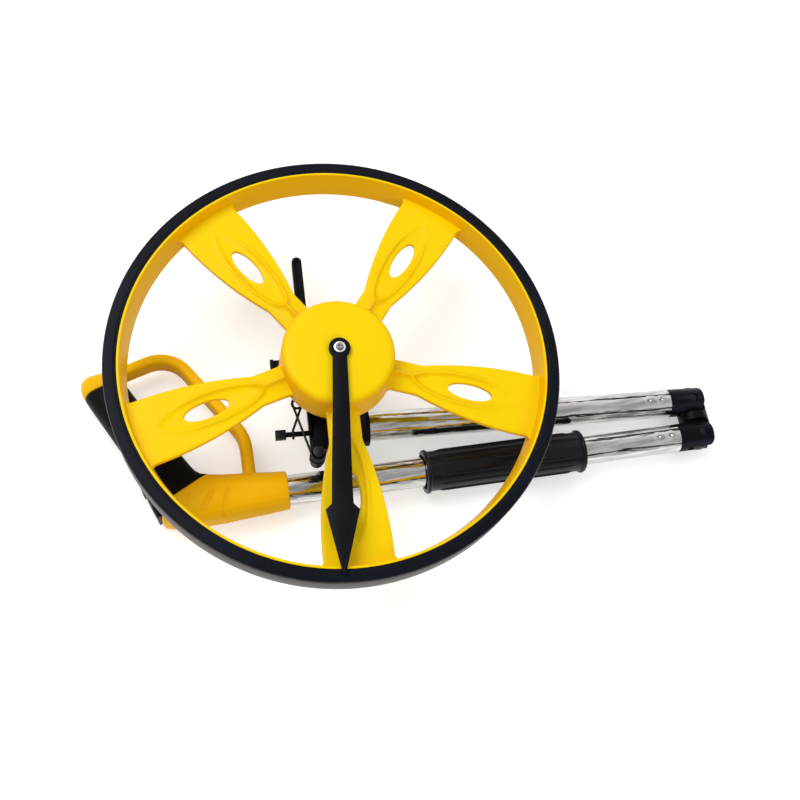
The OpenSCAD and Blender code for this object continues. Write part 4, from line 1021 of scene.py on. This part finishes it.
class MEASURING_WHEEL_OT_wheel(bpy.types.Operator):
    """Model the yellow moulding: rim, sculpted spokes and hub drum"""

    bl_idname = "measuring_wheel.wheel"
    bl_label = "Wheel moulding"

    def rim(self, size):
        """The hoop inside the tyre, whose inner wall leans out to a thin front lip."""
        inner = RIM_R - size.rim_thickness
        draft = 1 * MM
        section = soft_section([
            (inner - draft, WHEEL_BACK, 0.7 * MM), (RIM_R, WHEEL_BACK, 0.3 * MM),
            (RIM_R, WHEEL_FRONT, 0.4 * MM), (RIM_R - size.rim_lip, WHEEL_FRONT, 0.4 * MM)])
        return spun_ring("wheel_rim", section, steps=240)

    def hub(self, size):
        """The hub drum with its crowned face and the boss for the bearings."""
        back = WHEEL_BACK + 2 * MM
        face = HUB_FRONT
        inside = face - size.hub_wall
        front_r = size.hub_radius - size.hub_draft
        wall_r = size.hub_radius - size.hub_wall
        axle_hole = 5 * MM
        bearing_seat = 11.02 * MM
        bearing_stop = bearing_seat - 2 * MM
        bearing_top = inside - 4.5 * MM
        bore = [
            (size.hub_boss, back, 0.4 * MM), (bearing_seat, back, 0.3 * MM), (bearing_seat, bearing_top, 0),
            (bearing_stop, bearing_top, 0), (bearing_stop, inside, 0), (axle_hole, inside, 0)]
        crown = [
            (axle_hole, face, 0.4 * MM), (front_r * 0.4, face - 0.1 * MM, 0),
            (front_r * 0.7, face - 0.45 * MM, 0), (front_r, face - 0.9 * MM, size.hub_round)]
        wall = [
            (size.hub_radius, back, 0.8 * MM), (wall_r, back, 0.8 * MM),
            (wall_r - size.hub_draft, inside, 3 * MM), (size.hub_boss, inside, 1 * MM)]
        section = soft_section(bore + crown + wall, cuts=6)
        return spun_ring("wheel_hub", section, steps=192)

    def hub_ribs(self, size):
        """Ribs between the boss and the wall of the drum."""
        count = 10
        thick = 2 * MM
        sunk = 1 * MM
        low = WHEEL_BACK + 8 * MM
        high = HUB_FRONT - size.hub_wall + sunk
        reach = size.hub_radius - size.hub_draft - size.hub_wall - size.hub_boss + 2 * sunk
        clear_selection()
        bpy.ops.mesh.primitive_cube_add(size=1)
        rib = take_new("hub_rib")
        rib.scale = (reach, thick, high - low)
        rib.location = (size.hub_boss - sunk + reach / 2, 0, (low + high) / 2)
        bpy.ops.object.transform_apply(location=True, rotation=True, scale=True)
        return copies(round_edges(rib, 0.4 * MM, 2), turned(count))

    def spokes(self, size):
        """One spoke, copied round the wheel."""
        shape = SpokeShape(size)
        rings = shape.rings()
        columns = shape.COLUMNS

        def point(column, row):
            return rings[row % len(rings)](round(column * columns) % columns)

        first = shaped_grid("wheel_spoke", columns, len(rings), point)
        return copies(first, turned(size.spoke_count, size.spoke_phase))

    def execute(self, context):
        size = forms()
        parts = [self.rim(size), self.hub(size)] + self.hub_ribs(size) + self.spokes(size)
        wheel = shade(joined("wheel_moulding", parts), angle=40)
        dress(wheel, "wheel", "yellow_plastic", wheel_yellow(), "spoked_wheel")
        return {"FINISHED"}


class MEASURING_WHEEL_OT_pointer(bpy.types.Operator):
    """Round the pointer's edges and finish its washer and screw"""

    bl_idname = "measuring_wheel.pointer"
    bl_label = "Pointer"

    def execute(self, context):
        size = forms()
        washer_edge = 0.2 * MM
        dress_copy("pointer", "pointer_arrow", "black_plastic", pointer_black(), size.moulded_edge)
        dress_copy("pointer_washer", "pointer_bright_washer", "steel", bright_washer(), washer_edge, 2)
        dress_copy("pointer_screw", "pointer_cross_screw", "steel", dark_screw(), size.screw_edge, 2)
        return {"FINISHED"}


class MEASURING_WHEEL_OT_bracket(bpy.types.Operator):
    """Round the edges of the bracket, its cover and its screws"""

    bl_idname = "measuring_wheel.bracket"
    bl_label = "Bracket"

    def execute(self, context):
        size = forms()
        edge = size.bracket_edge
        dress_copy("axle_bracket", "bracket_housing", "black_plastic", moulded_black(), edge)
        dress_copy("bracket_cover", "bracket_back_cover", "black_plastic", moulded_black(), edge / 2, 2)
        dress_copy("bracket_screws", "bracket_cover_screws", "steel", steel(), size.screw_edge, 2)
        return {"FINISHED"}


class MEASURING_WHEEL_OT_stand(bpy.types.Operator):
    """Round the edges of the kick stand and its pins, and wind its wire spring"""

    bl_idname = "measuring_wheel.stand"
    bl_label = "Stand"

    def spring_path(self, size):
        """Coil round the pivot, leg up to a loop, and a leg down to a hook on the post, in millimetres."""
        rings = 24
        turns = 3
        coil_radius = 4.8
        coil_gap = 0.45
        coil_below_bracket = 10.7
        coil_clearance = 0.3
        leg = 104
        loop = Vector((-30, -24))
        loop_radius = 3.4
        loop_turn = 568
        post_radius = 1.9
        hook_clearance = 0.2
        hook_start = 50
        hook_turn = 200
        hook_from_pivot = 15.5
        wire = size.spring_wire / MM
        pivot = STAND_PIVOT / MM
        pitch = wire + coil_gap
        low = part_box("axle_bracket")[1].z / MM - coil_below_bracket + wire / 2 + coil_clearance
        high = low + turns * pitch

        def level_ring(centre, radius, angle, height):
            """A point on a level ring."""
            return Vector((centre.x + radius * math.cos(angle), centre.y + radius * math.sin(angle), height))

        path = []
        for step in range(turns * rings + 1):
            angle = math.radians(leg + 90 + 360 * turns - 360 * step / rings)
            path.append(level_ring(pivot, coil_radius, angle, low + pitch * step / rings))
        steps = math.ceil(loop_turn / 360 * rings)
        for step in range(steps + 1):
            angle = math.radians(leg + 90 - loop_turn * step / steps)
            path.append(level_ring(loop, loop_radius, angle, high - pitch * loop_turn / 360 * step / steps))
        post = (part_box("spring_post")[0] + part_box("spring_post")[1]) / 2 / MM
        hook_radius = post_radius + wire / 2 + hook_clearance
        for step in range(rings + 1):
            angle = math.radians(hook_start + hook_turn * step / rings)
            path.append(Vector((pivot.x - hook_from_pivot, post.y + hook_radius * math.cos(angle),
                                post.z + hook_radius * math.sin(angle))))
        return path

    def spring(self, size):
        """The wire along its path, as a closed mesh."""
        path = self.spring_path(size)
        curve = bpy.data.curves.new("stand_wire_spring", "CURVE")
        curve.dimensions = "3D"
        curve.bevel_depth = size.spring_wire / 2
        curve.bevel_resolution = 3
        curve.use_fill_caps = True
        spline = curve.splines.new("POLY")
        spline.points.add(len(path) - 1)
        for point, place in zip(spline.points, path):
            point.co = (*(place * MM), 1)
        piece = bpy.data.objects.new("stand_wire_spring", curve)
        bpy.context.scene.collection.objects.link(piece)
        activate(piece)
        bpy.ops.object.convert(target="MESH")
        return close_mesh(bpy.context.object)

    def execute(self, context):
        size = forms()
        post_edge = 0.4 * MM
        dress_copy("stand_leg", "stand_kick_leg", "black_plastic", moulded_black(), size.moulded_edge)
        dress_copy("stand_pin", "stand_pivot_pin", "steel", spring_steel(), size.pin_edge, 2)
        dress_copy("spring_post", "stand_spring_post", "black_plastic", moulded_black(), post_edge, 2)
        spring = shade(self.spring(size), angle=60)
        dress(spring, NODE_BODY["stand_spring"], "spring_steel", spring_steel(), "stand_spring")
        return {"FINISHED"}


class MEASURING_WHEEL_OT_tubes(bpy.types.Operator):
    """Model the two chromed tubes with the dimples punched over their locking pins"""

    bl_idname = "measuring_wheel.tubes"
    bl_label = "Chromed tubes"

    LIP = 0.25 * MM
    BOWL = 2.0 * MM
    PIT = 1.0 * MM
    RING = 3.1 * MM
    RING_WIDTH = 0.8 * MM
    RING_DEPTH = 0.1 * MM

    def stations(self, size, start, end):
        """Places along a tube, close together where it is dimpled."""
        coarse = 24
        fine = 90
        margin = 5 * MM
        dimpled = end - size.dimple_start - size.dimple_pitch - margin
        places = [start + self.LIP]
        places += [start + (dimpled - start) * step / coarse for step in range(1, coarse)]
        places += [dimpled + (end - self.LIP - dimpled) * step / fine for step in range(fine + 1)]
        return places

    def dimple(self, size, x, angle, end):
        """Change of the tube's radius at its dimples: a bowl with a pit, and a faint ring round it."""
        change = 0.0
        for centre in (end - size.dimple_start, end - size.dimple_start - size.dimple_pitch):
            away = math.hypot(x - centre, TUBE_R * (angle - math.pi / 2))
            change -= size.dimple_depth * math.exp(-(away / self.BOWL) ** 2)
            change -= size.dimple_depth * math.exp(-(away / self.PIT) ** 2)
            change -= self.RING_DEPTH * math.exp(-((away - self.RING) / self.RING_WIDTH) ** 2)
        return change

    def tube(self, name, size, start, end, place):
        """A tube along +X with turned-in lips, dimpled near its far end, and then put in its place."""
        columns = 240
        lip = self.LIP
        bore = TUBE_R - size.tube_wall
        outer = [(x, TUBE_R, True) for x in self.stations(size, start, end)]
        rows = outer + [(end, TUBE_R - lip, False), (end, bore + lip, False), (end - lip, bore, False),
                        (start + lip, bore, False), (start, bore + lip, False), (start, TUBE_R - lip, False)]

        def point(column, row):
            x, radius, dimpled = rows[row % len(rows)]
            angle = 2 * math.pi * column - math.pi / 2
            if dimpled:
                radius += self.dimple(size, x, angle, end)
            return place @ Vector((x, radius * math.cos(angle), radius * math.sin(angle)))

        return shade(shaped_grid(name, columns, len(rows), point), angle=40)

    def execute(self, context):
        size = forms()
        end = -size.knuckle_length
        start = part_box("lower_tube")[0].x - WHEEL_PIN.x
        lower = self.tube("wheel_side_tube", size, start, end, Matrix.Translation(WHEEL_PIN))
        dress(lower, "frame", "chrome", chrome(), "lower_tube", "lower_lock_pins")
        place = Matrix.Translation(HANDLE_PIN) @ Matrix.Rotation(TUBE_TURN, 4, "Z")
        near_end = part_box("upper_tube")[0].x + TUBE_R * math.sin(TUBE_TURN)
        start = (near_end - HANDLE_PIN.x) / math.cos(TUBE_TURN)
        upper = self.tube("handle_side_tube", size, start, end, place)
        dress(upper, "handle", "chrome", chrome(), "upper_tube", "upper_lock_pins")
        return {"FINISHED"}


class MEASURING_WHEEL_OT_hinge(bpy.types.Operator):
    """Round the edges of the two knuckles, the link between them and their pins"""

    bl_idname = "measuring_wheel.hinge"
    bl_label = "Fold hinge"

    def execute(self, context):
        size = forms()
        for node, name in (("lower_knuckle", "wheel_side_knuckle"), ("upper_knuckle", "handle_side_knuckle"),
                           ("fold_link", "hinge_link")):
            dress_copy(node, name, "black_plastic", moulded_black(), size.hinge_edge, 4)
        for node, name in (("lower_hinge_pin", "wheel_side_hinge_pin"),
                           ("upper_hinge_pin", "handle_side_hinge_pin")):
            dress_copy(node, name, "steel", spring_steel(), size.pin_edge, 2)
        return {"FINISHED"}


class MEASURING_WHEEL_OT_sleeve(bpy.types.Operator):
    """Model the lock sleeve with its end beads, long ribs and scalloped mouths"""

    bl_idname = "measuring_wheel.sleeve"
    bl_label = "Lock sleeve"

    def execute(self, context):
        size = forms()
        low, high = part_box("lock_sleeve")
        bead_r = (high.z - low.z) / 2
        half = (high.x - low.x - 2 * bead_r * math.sin(TUBE_TURN)) / math.cos(TUBE_TURN) / 2
        place = Matrix.Translation((low + high) / 2) @ Matrix.Rotation(TUBE_TURN, 4, "Z")
        columns = 432
        bead = size.sleeve_bead
        bead_rise = 1.5 * MM
        bead_steps = 8
        body_r = size.sleeve_radius
        bore = TUBE_R + 0.06 * MM
        mouth = 4 * MM
        mouth_r = TUBE_R + 1.9 * MM
        mouth_floor_r = TUBE_R + 1.6 * MM
        scallop = 0.5 * MM
        rib_height = 1.0 * MM
        rib_end = half - bead - 6 * MM
        rib_run_out = rib_end + 1.4 * MM
        rib_steps = 24

        def side(sign):
            """Outer rows of one end, from its mouth inwards."""
            rows = [(sign * half, bead_r - bead_rise, 0)]
            for step in range(bead_steps + 1):
                angle = math.pi * step / bead_steps
                rows.append((sign * (half - bead / 2 - bead / 2 * math.cos(angle)),
                             bead_r - bead_rise + bead_rise * math.sin(angle) ** 0.7, 0))
            rows.append((sign * (half - bead - 0.3 * MM), body_r + 0.15 * MM, 0))
            rows.append((sign * (half - bead - 1.2 * MM), body_r, 0))
            return rows + [(sign * rib_run_out, body_r, 0)]

        # Rows of (place along the tube, radius, form), where form is 1 on the ribs and -1 on the scallops
        ribbed = [(-rib_end + 2 * rib_end * step / rib_steps, body_r, smoothstep(min(step, rib_steps - step)))
                  for step in range(rib_steps + 1)]
        inner = [(half, mouth_r, -1), (half - mouth, mouth_floor_r, -1), (half - mouth, bore, 0),
                 (-half + mouth, bore, 0), (-half + mouth, mouth_floor_r, -1), (-half, mouth_r, -1)]
        rows = side(-1) + ribbed + list(reversed(side(1))) + inner

        def point(column, row):
            x, radius, form = rows[row % len(rows)]
            angle = 2 * math.pi * column
            if form > 0:
                wave = math.cos(size.sleeve_ribs * angle)
                radius += rib_height * form * smoothstep((wave - 0.72) / 0.22)
            elif form < 0:
                radius += scallop * math.cos(size.sleeve_ribs / 2 * angle)
            return place @ Vector((x, radius * math.cos(angle), radius * math.sin(angle)))

        sleeve = shade(shaped_grid("lock_sleeve_ribbed", columns, len(rows), point), angle=40)
        dress(sleeve, "sleeve", "black_plastic", sleeve_black(), "lock_sleeve")
        return {"FINISHED"}


class MEASURING_WHEEL_OT_handle(bpy.types.Operator):
    """Run the handle shells and the rubber grip into soft moulded skins"""

    bl_idname = "measuring_wheel.handle"
    bl_label = "Handle"

    # Ends of the slanted grooves in millimetres: along the tube from the mouth, and across it
    GROOVES = (((-53.4, 2.0), (-61.0, -9.5)), ((-42.6, 1.6), (-48.0, -17.0)))

    def press_grooves(self, size, shell):
        """Presses the slanted grooves into the outer skin of the neck."""
        lowest_slope = 0.2
        mouth = HANDLE_PIN - TUBE_DIRECTION * size.mouth_to_pin
        across = Vector((-TUBE_DIRECTION.y, TUBE_DIRECTION.x, 0))
        ends = [[Vector(end) * MM for end in groove] for groove in self.GROOVES]
        slopes = [normal.vector.z for normal in shell.data.vertex_normals]
        for vertex, slope in zip(shell.data.vertices, slopes):
            away = vertex.co - mouth
            side = math.copysign(1.0, away.z)
            if slope * side < lowest_slope or abs(away.z) < TUBE_R:
                continue
            point = Vector((away.dot(TUBE_DIRECTION), away.dot(across)))
            for start, end in ends:
                run = end - start
                share = min(1.0, max(0.0, (point - start).dot(run) / run.length_squared))
                gap = (point - start - run * share).length
                vertex.co.z -= side * size.groove_depth * math.exp(-(gap / size.groove_width) ** 4)

    def execute(self, context):
        screw_edge = 0.2 * MM
        for node, name in (("front_shell", "handle_front_shell"), ("rear_shell", "handle_rear_shell")):
            shell = soft_skin(node_copy(node, name))
            self.press_grooves(forms(), shell)
            shade(shell, angle=50)
            dress(shell, "handle", "yellow_plastic", handle_yellow(), node)
        grip = shade(soft_skin(node_copy("grip_rubber", "handle_rubber_grip")), angle=50)
        dress(grip, "handle", "grip_rubber", grip_black(), "grip_rubber")
        dress_copy("shell_screws", "handle_shell_screws", "steel", steel(), screw_edge, 2)
        return {"FINISHED"}


class MEASURING_WHEEL_OT_display(bpy.types.Operator):
    """Finish the display, its buttons and its circuit board"""

    bl_idname = "measuring_wheel.display"
    bl_label = "Display and buttons"

    def bar(self):
        """One bar of a digit, a unit long and wide, with its corners cut."""
        corner = 0.2
        clear_selection()
        bpy.ops.mesh.primitive_cube_add(size=1)
        return round_edges(take_new("digit_bar"), corner, segments=1)

    def digits(self):
        """A row of plain noughts with a point before the last one."""
        panel_low, panel_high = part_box("lcd_panel")
        lens_low, lens_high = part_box("display_lens")
        facing = ((lens_low + lens_high) / 2 - (panel_low + panel_high) / 2).normalized()
        upwards = (TUBE_DIRECTION - facing * TUBE_DIRECTION.dot(facing)).normalized()
        across = upwards.cross(facing)

        def reach(axis):
            """Lowest and highest place of the panel along an axis."""
            places = [vertex.co.dot(axis) for vertex in NODES["lcd_panel"].data.vertices]
            return min(places), max(places)

        left, right = reach(across)
        foot, head = reach(upwards)
        middle = (left + right) / 2 * across + (foot + head) / 2 * upwards + reach(facing)[1] * facing
        width = right - left
        tall = min(0.62 * (head - foot), 0.3 * width)
        count = 5
        pitch = 0.86 * width / count
        wide = 0.62 * pitch
        stroke = 0.13 * pitch
        thick = 0.08 * MM
        trim = 1.3 * stroke

        def laid(x, y, run_x, run_y):
            return Matrix.Translation((x, y, thick / 2)) @ Matrix.Diagonal((run_x, run_y, thick, 1))

        places = []
        for index in range(count):
            centre = (index - (count - 1) / 2) * pitch
            for side in (-1, 1):
                places.append(laid(centre, side * tall / 2, wide - trim, stroke))
                for level in (-1, 1):
                    places.append(laid(centre + side * wide / 2, level * tall / 4, stroke, tall / 2 - trim))
        places.append(laid((count / 2 - 1) * pitch, -tall / 2, stroke, stroke))
        piece = joined("display_digits", copies(self.bar(), places))
        place = Matrix((across, upwards, facing)).transposed().to_4x4()
        place.translation = middle
        piece.data.transform(place)
        return close_mesh(piece)

    def execute(self, context):
        size = forms()
        bezel_edge = 0.35 * MM
        panel_edge = 0.1 * MM
        digits = shade(self.digits())
        dress(digits, NODE_BODY["lcd_panel"], "lcd", digit_black())
        dress_copy("display_frame", "display_bezel", "black_plastic", moulded_black(), bezel_edge, 2)
        dress_copy("display_lens", "display_clear_lens", "lens", clear_lens(), size.screw_edge, 2)
        dress_copy("lcd_panel", "display_lcd", "lcd", panel_grey(), panel_edge, 1)
        paint_node("display_board", board_green())
        for node in ("power_button", "zero_button", "unit_button"):
            dress_copy(node, node + "_cap", "button", button_grey(), size.moulded_edge)
        return {"FINISHED"}


class MEASURING_WHEEL_OT_battery(bpy.types.Operator):
    """Finish the battery bay, its cells and its cover"""

    bl_idname = "measuring_wheel.battery"
    bl_label = "Battery bay"

    def execute(self, context):
        size = forms()
        dress_copy("battery_cover", "battery_bay_cover", "black_plastic", moulded_black(), size.pin_edge, 2)
        dress_copy("battery_screw", "battery_cover_screw", "steel", steel(), size.screw_edge, 2)
        paint_node("battery_tray", moulded_black())
        paint_node("batteries", cell_jacket())
        paint_node("battery_contacts", steel())
        return {"FINISHED"}


class MEASURING_WHEEL_OT_axle(bpy.types.Operator):
    """Finish the axle, its bearings, the magnet ring and the sensor board"""

    bl_idname = "measuring_wheel.axle"
    bl_label = "Axle and bearings"

    def execute(self, context):
        for node in ("bearing_outer_rings", "bearing_inner_rings", "bearing_balls", "hub_spacer",
                     "axle_spacer", "axle_bolt", "axle_nut", "axle_clip"):
            paint_node(node, steel())
        paint_node("magnet_ring", magnet_grey())
        paint_node("sensor_board", board_green())
        return {"FINISHED"}


class MEASURING_WHEEL_OT_stage(bpy.types.Operator):
    """Set the pale floor, the soft lamps, the sky and the camera"""

    bl_idname = "measuring_wheel.stage"
    bl_label = "Stage"

    # Height in the sky, from the horizon at 0 to overhead at 1, and its level of grey
    SKY_LEVELS = (
        (0.0, 0.92), (0.28, 0.92), (0.36, 0.03), (0.52, 0.03), (0.64, 0.95), (0.85, 0.7), (1.0, 0.4))
    SKY_LEAN = 0.3
    KEY_PLACE = (-0.7, 0.5, 1.4)
    KEY_SIZE = 1.1
    FILL_PLACE = (0.7, -1.3, 0.9)
    FILL_SIZE = 0.8
    AIM = (0.05, 0, 0.05)

    def floor(self, stage):
        """A pale floor that the camera, mirrors and clear parts see nearly white."""
        clear_selection()
        bpy.ops.mesh.primitive_plane_add(size=stage.floor_size)
        floor = take_new("studio_floor")
        with editing(floor):
            bpy.ops.mesh.subdivide(number_cuts=8)
        finish = Finish("Pale floor")
        finish.set(Base_Color=finishes().floor_pale, Roughness=0.8, Specular_IOR_Level=0.1)
        path = finish.node("ShaderNodeLightPath").outputs
        seen = finish.calculate("MAXIMUM", path["Is Camera Ray"], path["Is Glossy Ray"])
        seen = finish.calculate("MAXIMUM", seen, path["Is Transmission Ray"])
        glow = finish.node("ShaderNodeEmission", Strength=finish.scaled(seen, stage.floor_glow))
        both = finish.node("ShaderNodeAddShader")
        finish.feed(both.inputs[0], finish.shader.outputs["BSDF"])
        finish.feed(both.inputs[1], glow.outputs["Emission"])
        finish.feed(finish.tree.nodes["Material Output"].inputs["Surface"], both.outputs["Shader"])
        floor.data.materials.append(finish.material)

    def sky(self, stage):
        """Pale walls, a dark belt above them and a soft dome that is brighter behind the object."""
        world = bpy.data.worlds.new("Studio")
        bpy.context.scene.world = world
        world.use_nodes = True
        nodes = Nodes(world.node_tree)
        direction = nodes.node("ShaderNodeTexCoord").outputs["Generated"]
        split = nodes.node("ShaderNodeSeparateXYZ", Vector=direction)
        dome = nodes.node("ShaderNodeValToRGB", Fac=split.outputs["Z"])
        ramp = dome.color_ramp
        for _ in range(len(self.SKY_LEVELS) - len(ramp.elements)):
            ramp.elements.new(0.5)
        for element, (height, level) in zip(ramp.elements, self.SKY_LEVELS):
            element.position = height
            element.color = (level, level, level, 1)
        strength = nodes.calculate(
            "MULTIPLY_ADD", split.outputs["Y"], self.SKY_LEAN * stage.sky_level, stage.sky_level)
        background = nodes.tree.nodes["Background"]
        nodes.feed(background.inputs["Color"], dome.outputs["Color"])
        nodes.feed(background.inputs["Strength"], strength)

    def lamp(self, name, place, size, power):
        """A square soft lamp that faces the object."""
        clear_selection()
        bpy.ops.object.light_add(type="AREA", location=place)
        lamp = bpy.context.object
        lamp.name = name
        lamp.data.size = size
        lamp.data.energy = power
        lamp.rotation_euler = (Vector(self.AIM) - Vector(place)).to_track_quat("-Z", "Y").to_euler()
        return lamp

    def execute(self, context):
        stage = context.scene.measuring_wheel_stage
        self.floor(stage)
        self.sky(stage)
        self.lamp("key_softbox", self.KEY_PLACE, self.KEY_SIZE, stage.key_power)
        fill = self.lamp("fill_softbox", self.FILL_PLACE, self.FILL_SIZE, stage.fill_power)
        fill.visible_glossy = False
        clear_selection()
        bpy.ops.object.camera_add(location=stage.camera_place, rotation=stage.camera_turn)
        camera = bpy.context.object
        camera.data.lens = stage.camera_lens
        camera.data.sensor_width = stage.camera_sensor
        camera.data.clip_start = 10 * MM
        context.scene.camera = camera
        context.scene.view_settings.view_transform = "Standard"
        return {"FINISHED"}


PIECES = (
    MEASURING_WHEEL_OT_tyre, MEASURING_WHEEL_OT_wheel, MEASURING_WHEEL_OT_axle, MEASURING_WHEEL_OT_pointer,
    MEASURING_WHEEL_OT_bracket, MEASURING_WHEEL_OT_stand, MEASURING_WHEEL_OT_tubes, MEASURING_WHEEL_OT_hinge,
    MEASURING_WHEEL_OT_sleeve, MEASURING_WHEEL_OT_handle, MEASURING_WHEEL_OT_display,
    MEASURING_WHEEL_OT_battery, MEASURING_WHEEL_OT_stage,
)


class MEASURING_WHEEL_PT_pieces(bpy.types.Panel):
    """Lists the pieces of the measuring wheel and their settings"""

    bl_idname = "MEASURING_WHEEL_PT_pieces"
    bl_label = "Measuring wheel"
    bl_space_type = "VIEW_3D"
    bl_region_type = "UI"
    bl_category = "Measuring wheel"

    def draw(self, context):
        for piece in PIECES:
            self.layout.operator(piece.bl_idname)
        for group in SETTINGS:
            settings = getattr(context.scene, group)
            box = self.layout.box()
            for name in SETTINGS[group].__annotations__:
                box.prop(settings, name)


SETTINGS = {
    "measuring_wheel_forms": MeasuringWheelForms,
    "measuring_wheel_finishes": MeasuringWheelFinishes,
    "measuring_wheel_stage": MeasuringWheelStage,
}
CLASSES = (*SETTINGS.values(), *PIECES, MEASURING_WHEEL_PT_pieces)


def register():
    """Adds the classes, and the settings to the scene."""
    for entry in CLASSES:
        bpy.utils.register_class(entry)
    for name, group in SETTINGS.items():
        setattr(bpy.types.Scene, name, bpy.props.PointerProperty(type=group))


def unregister():
    for name in SETTINGS:
        delattr(bpy.types.Scene, name)
    for entry in reversed(CLASSES):
        bpy.utils.unregister_class(entry)


def main():
    """Builds the stage and every piece."""
    register()
    bpy.ops.measuring_wheel.stage()
    bpy.ops.measuring_wheel.tyre()
    bpy.ops.measuring_wheel.wheel()
    bpy.ops.measuring_wheel.axle()
    bpy.ops.measuring_wheel.pointer()
    bpy.ops.measuring_wheel.bracket()
    bpy.ops.measuring_wheel.stand()
    bpy.ops.measuring_wheel.tubes()
    bpy.ops.measuring_wheel.hinge()
    bpy.ops.measuring_wheel.sleeve()
    bpy.ops.measuring_wheel.handle()
    bpy.ops.measuring_wheel.display()
    bpy.ops.measuring_wheel.battery()


if __name__ == "__main__":
    main()
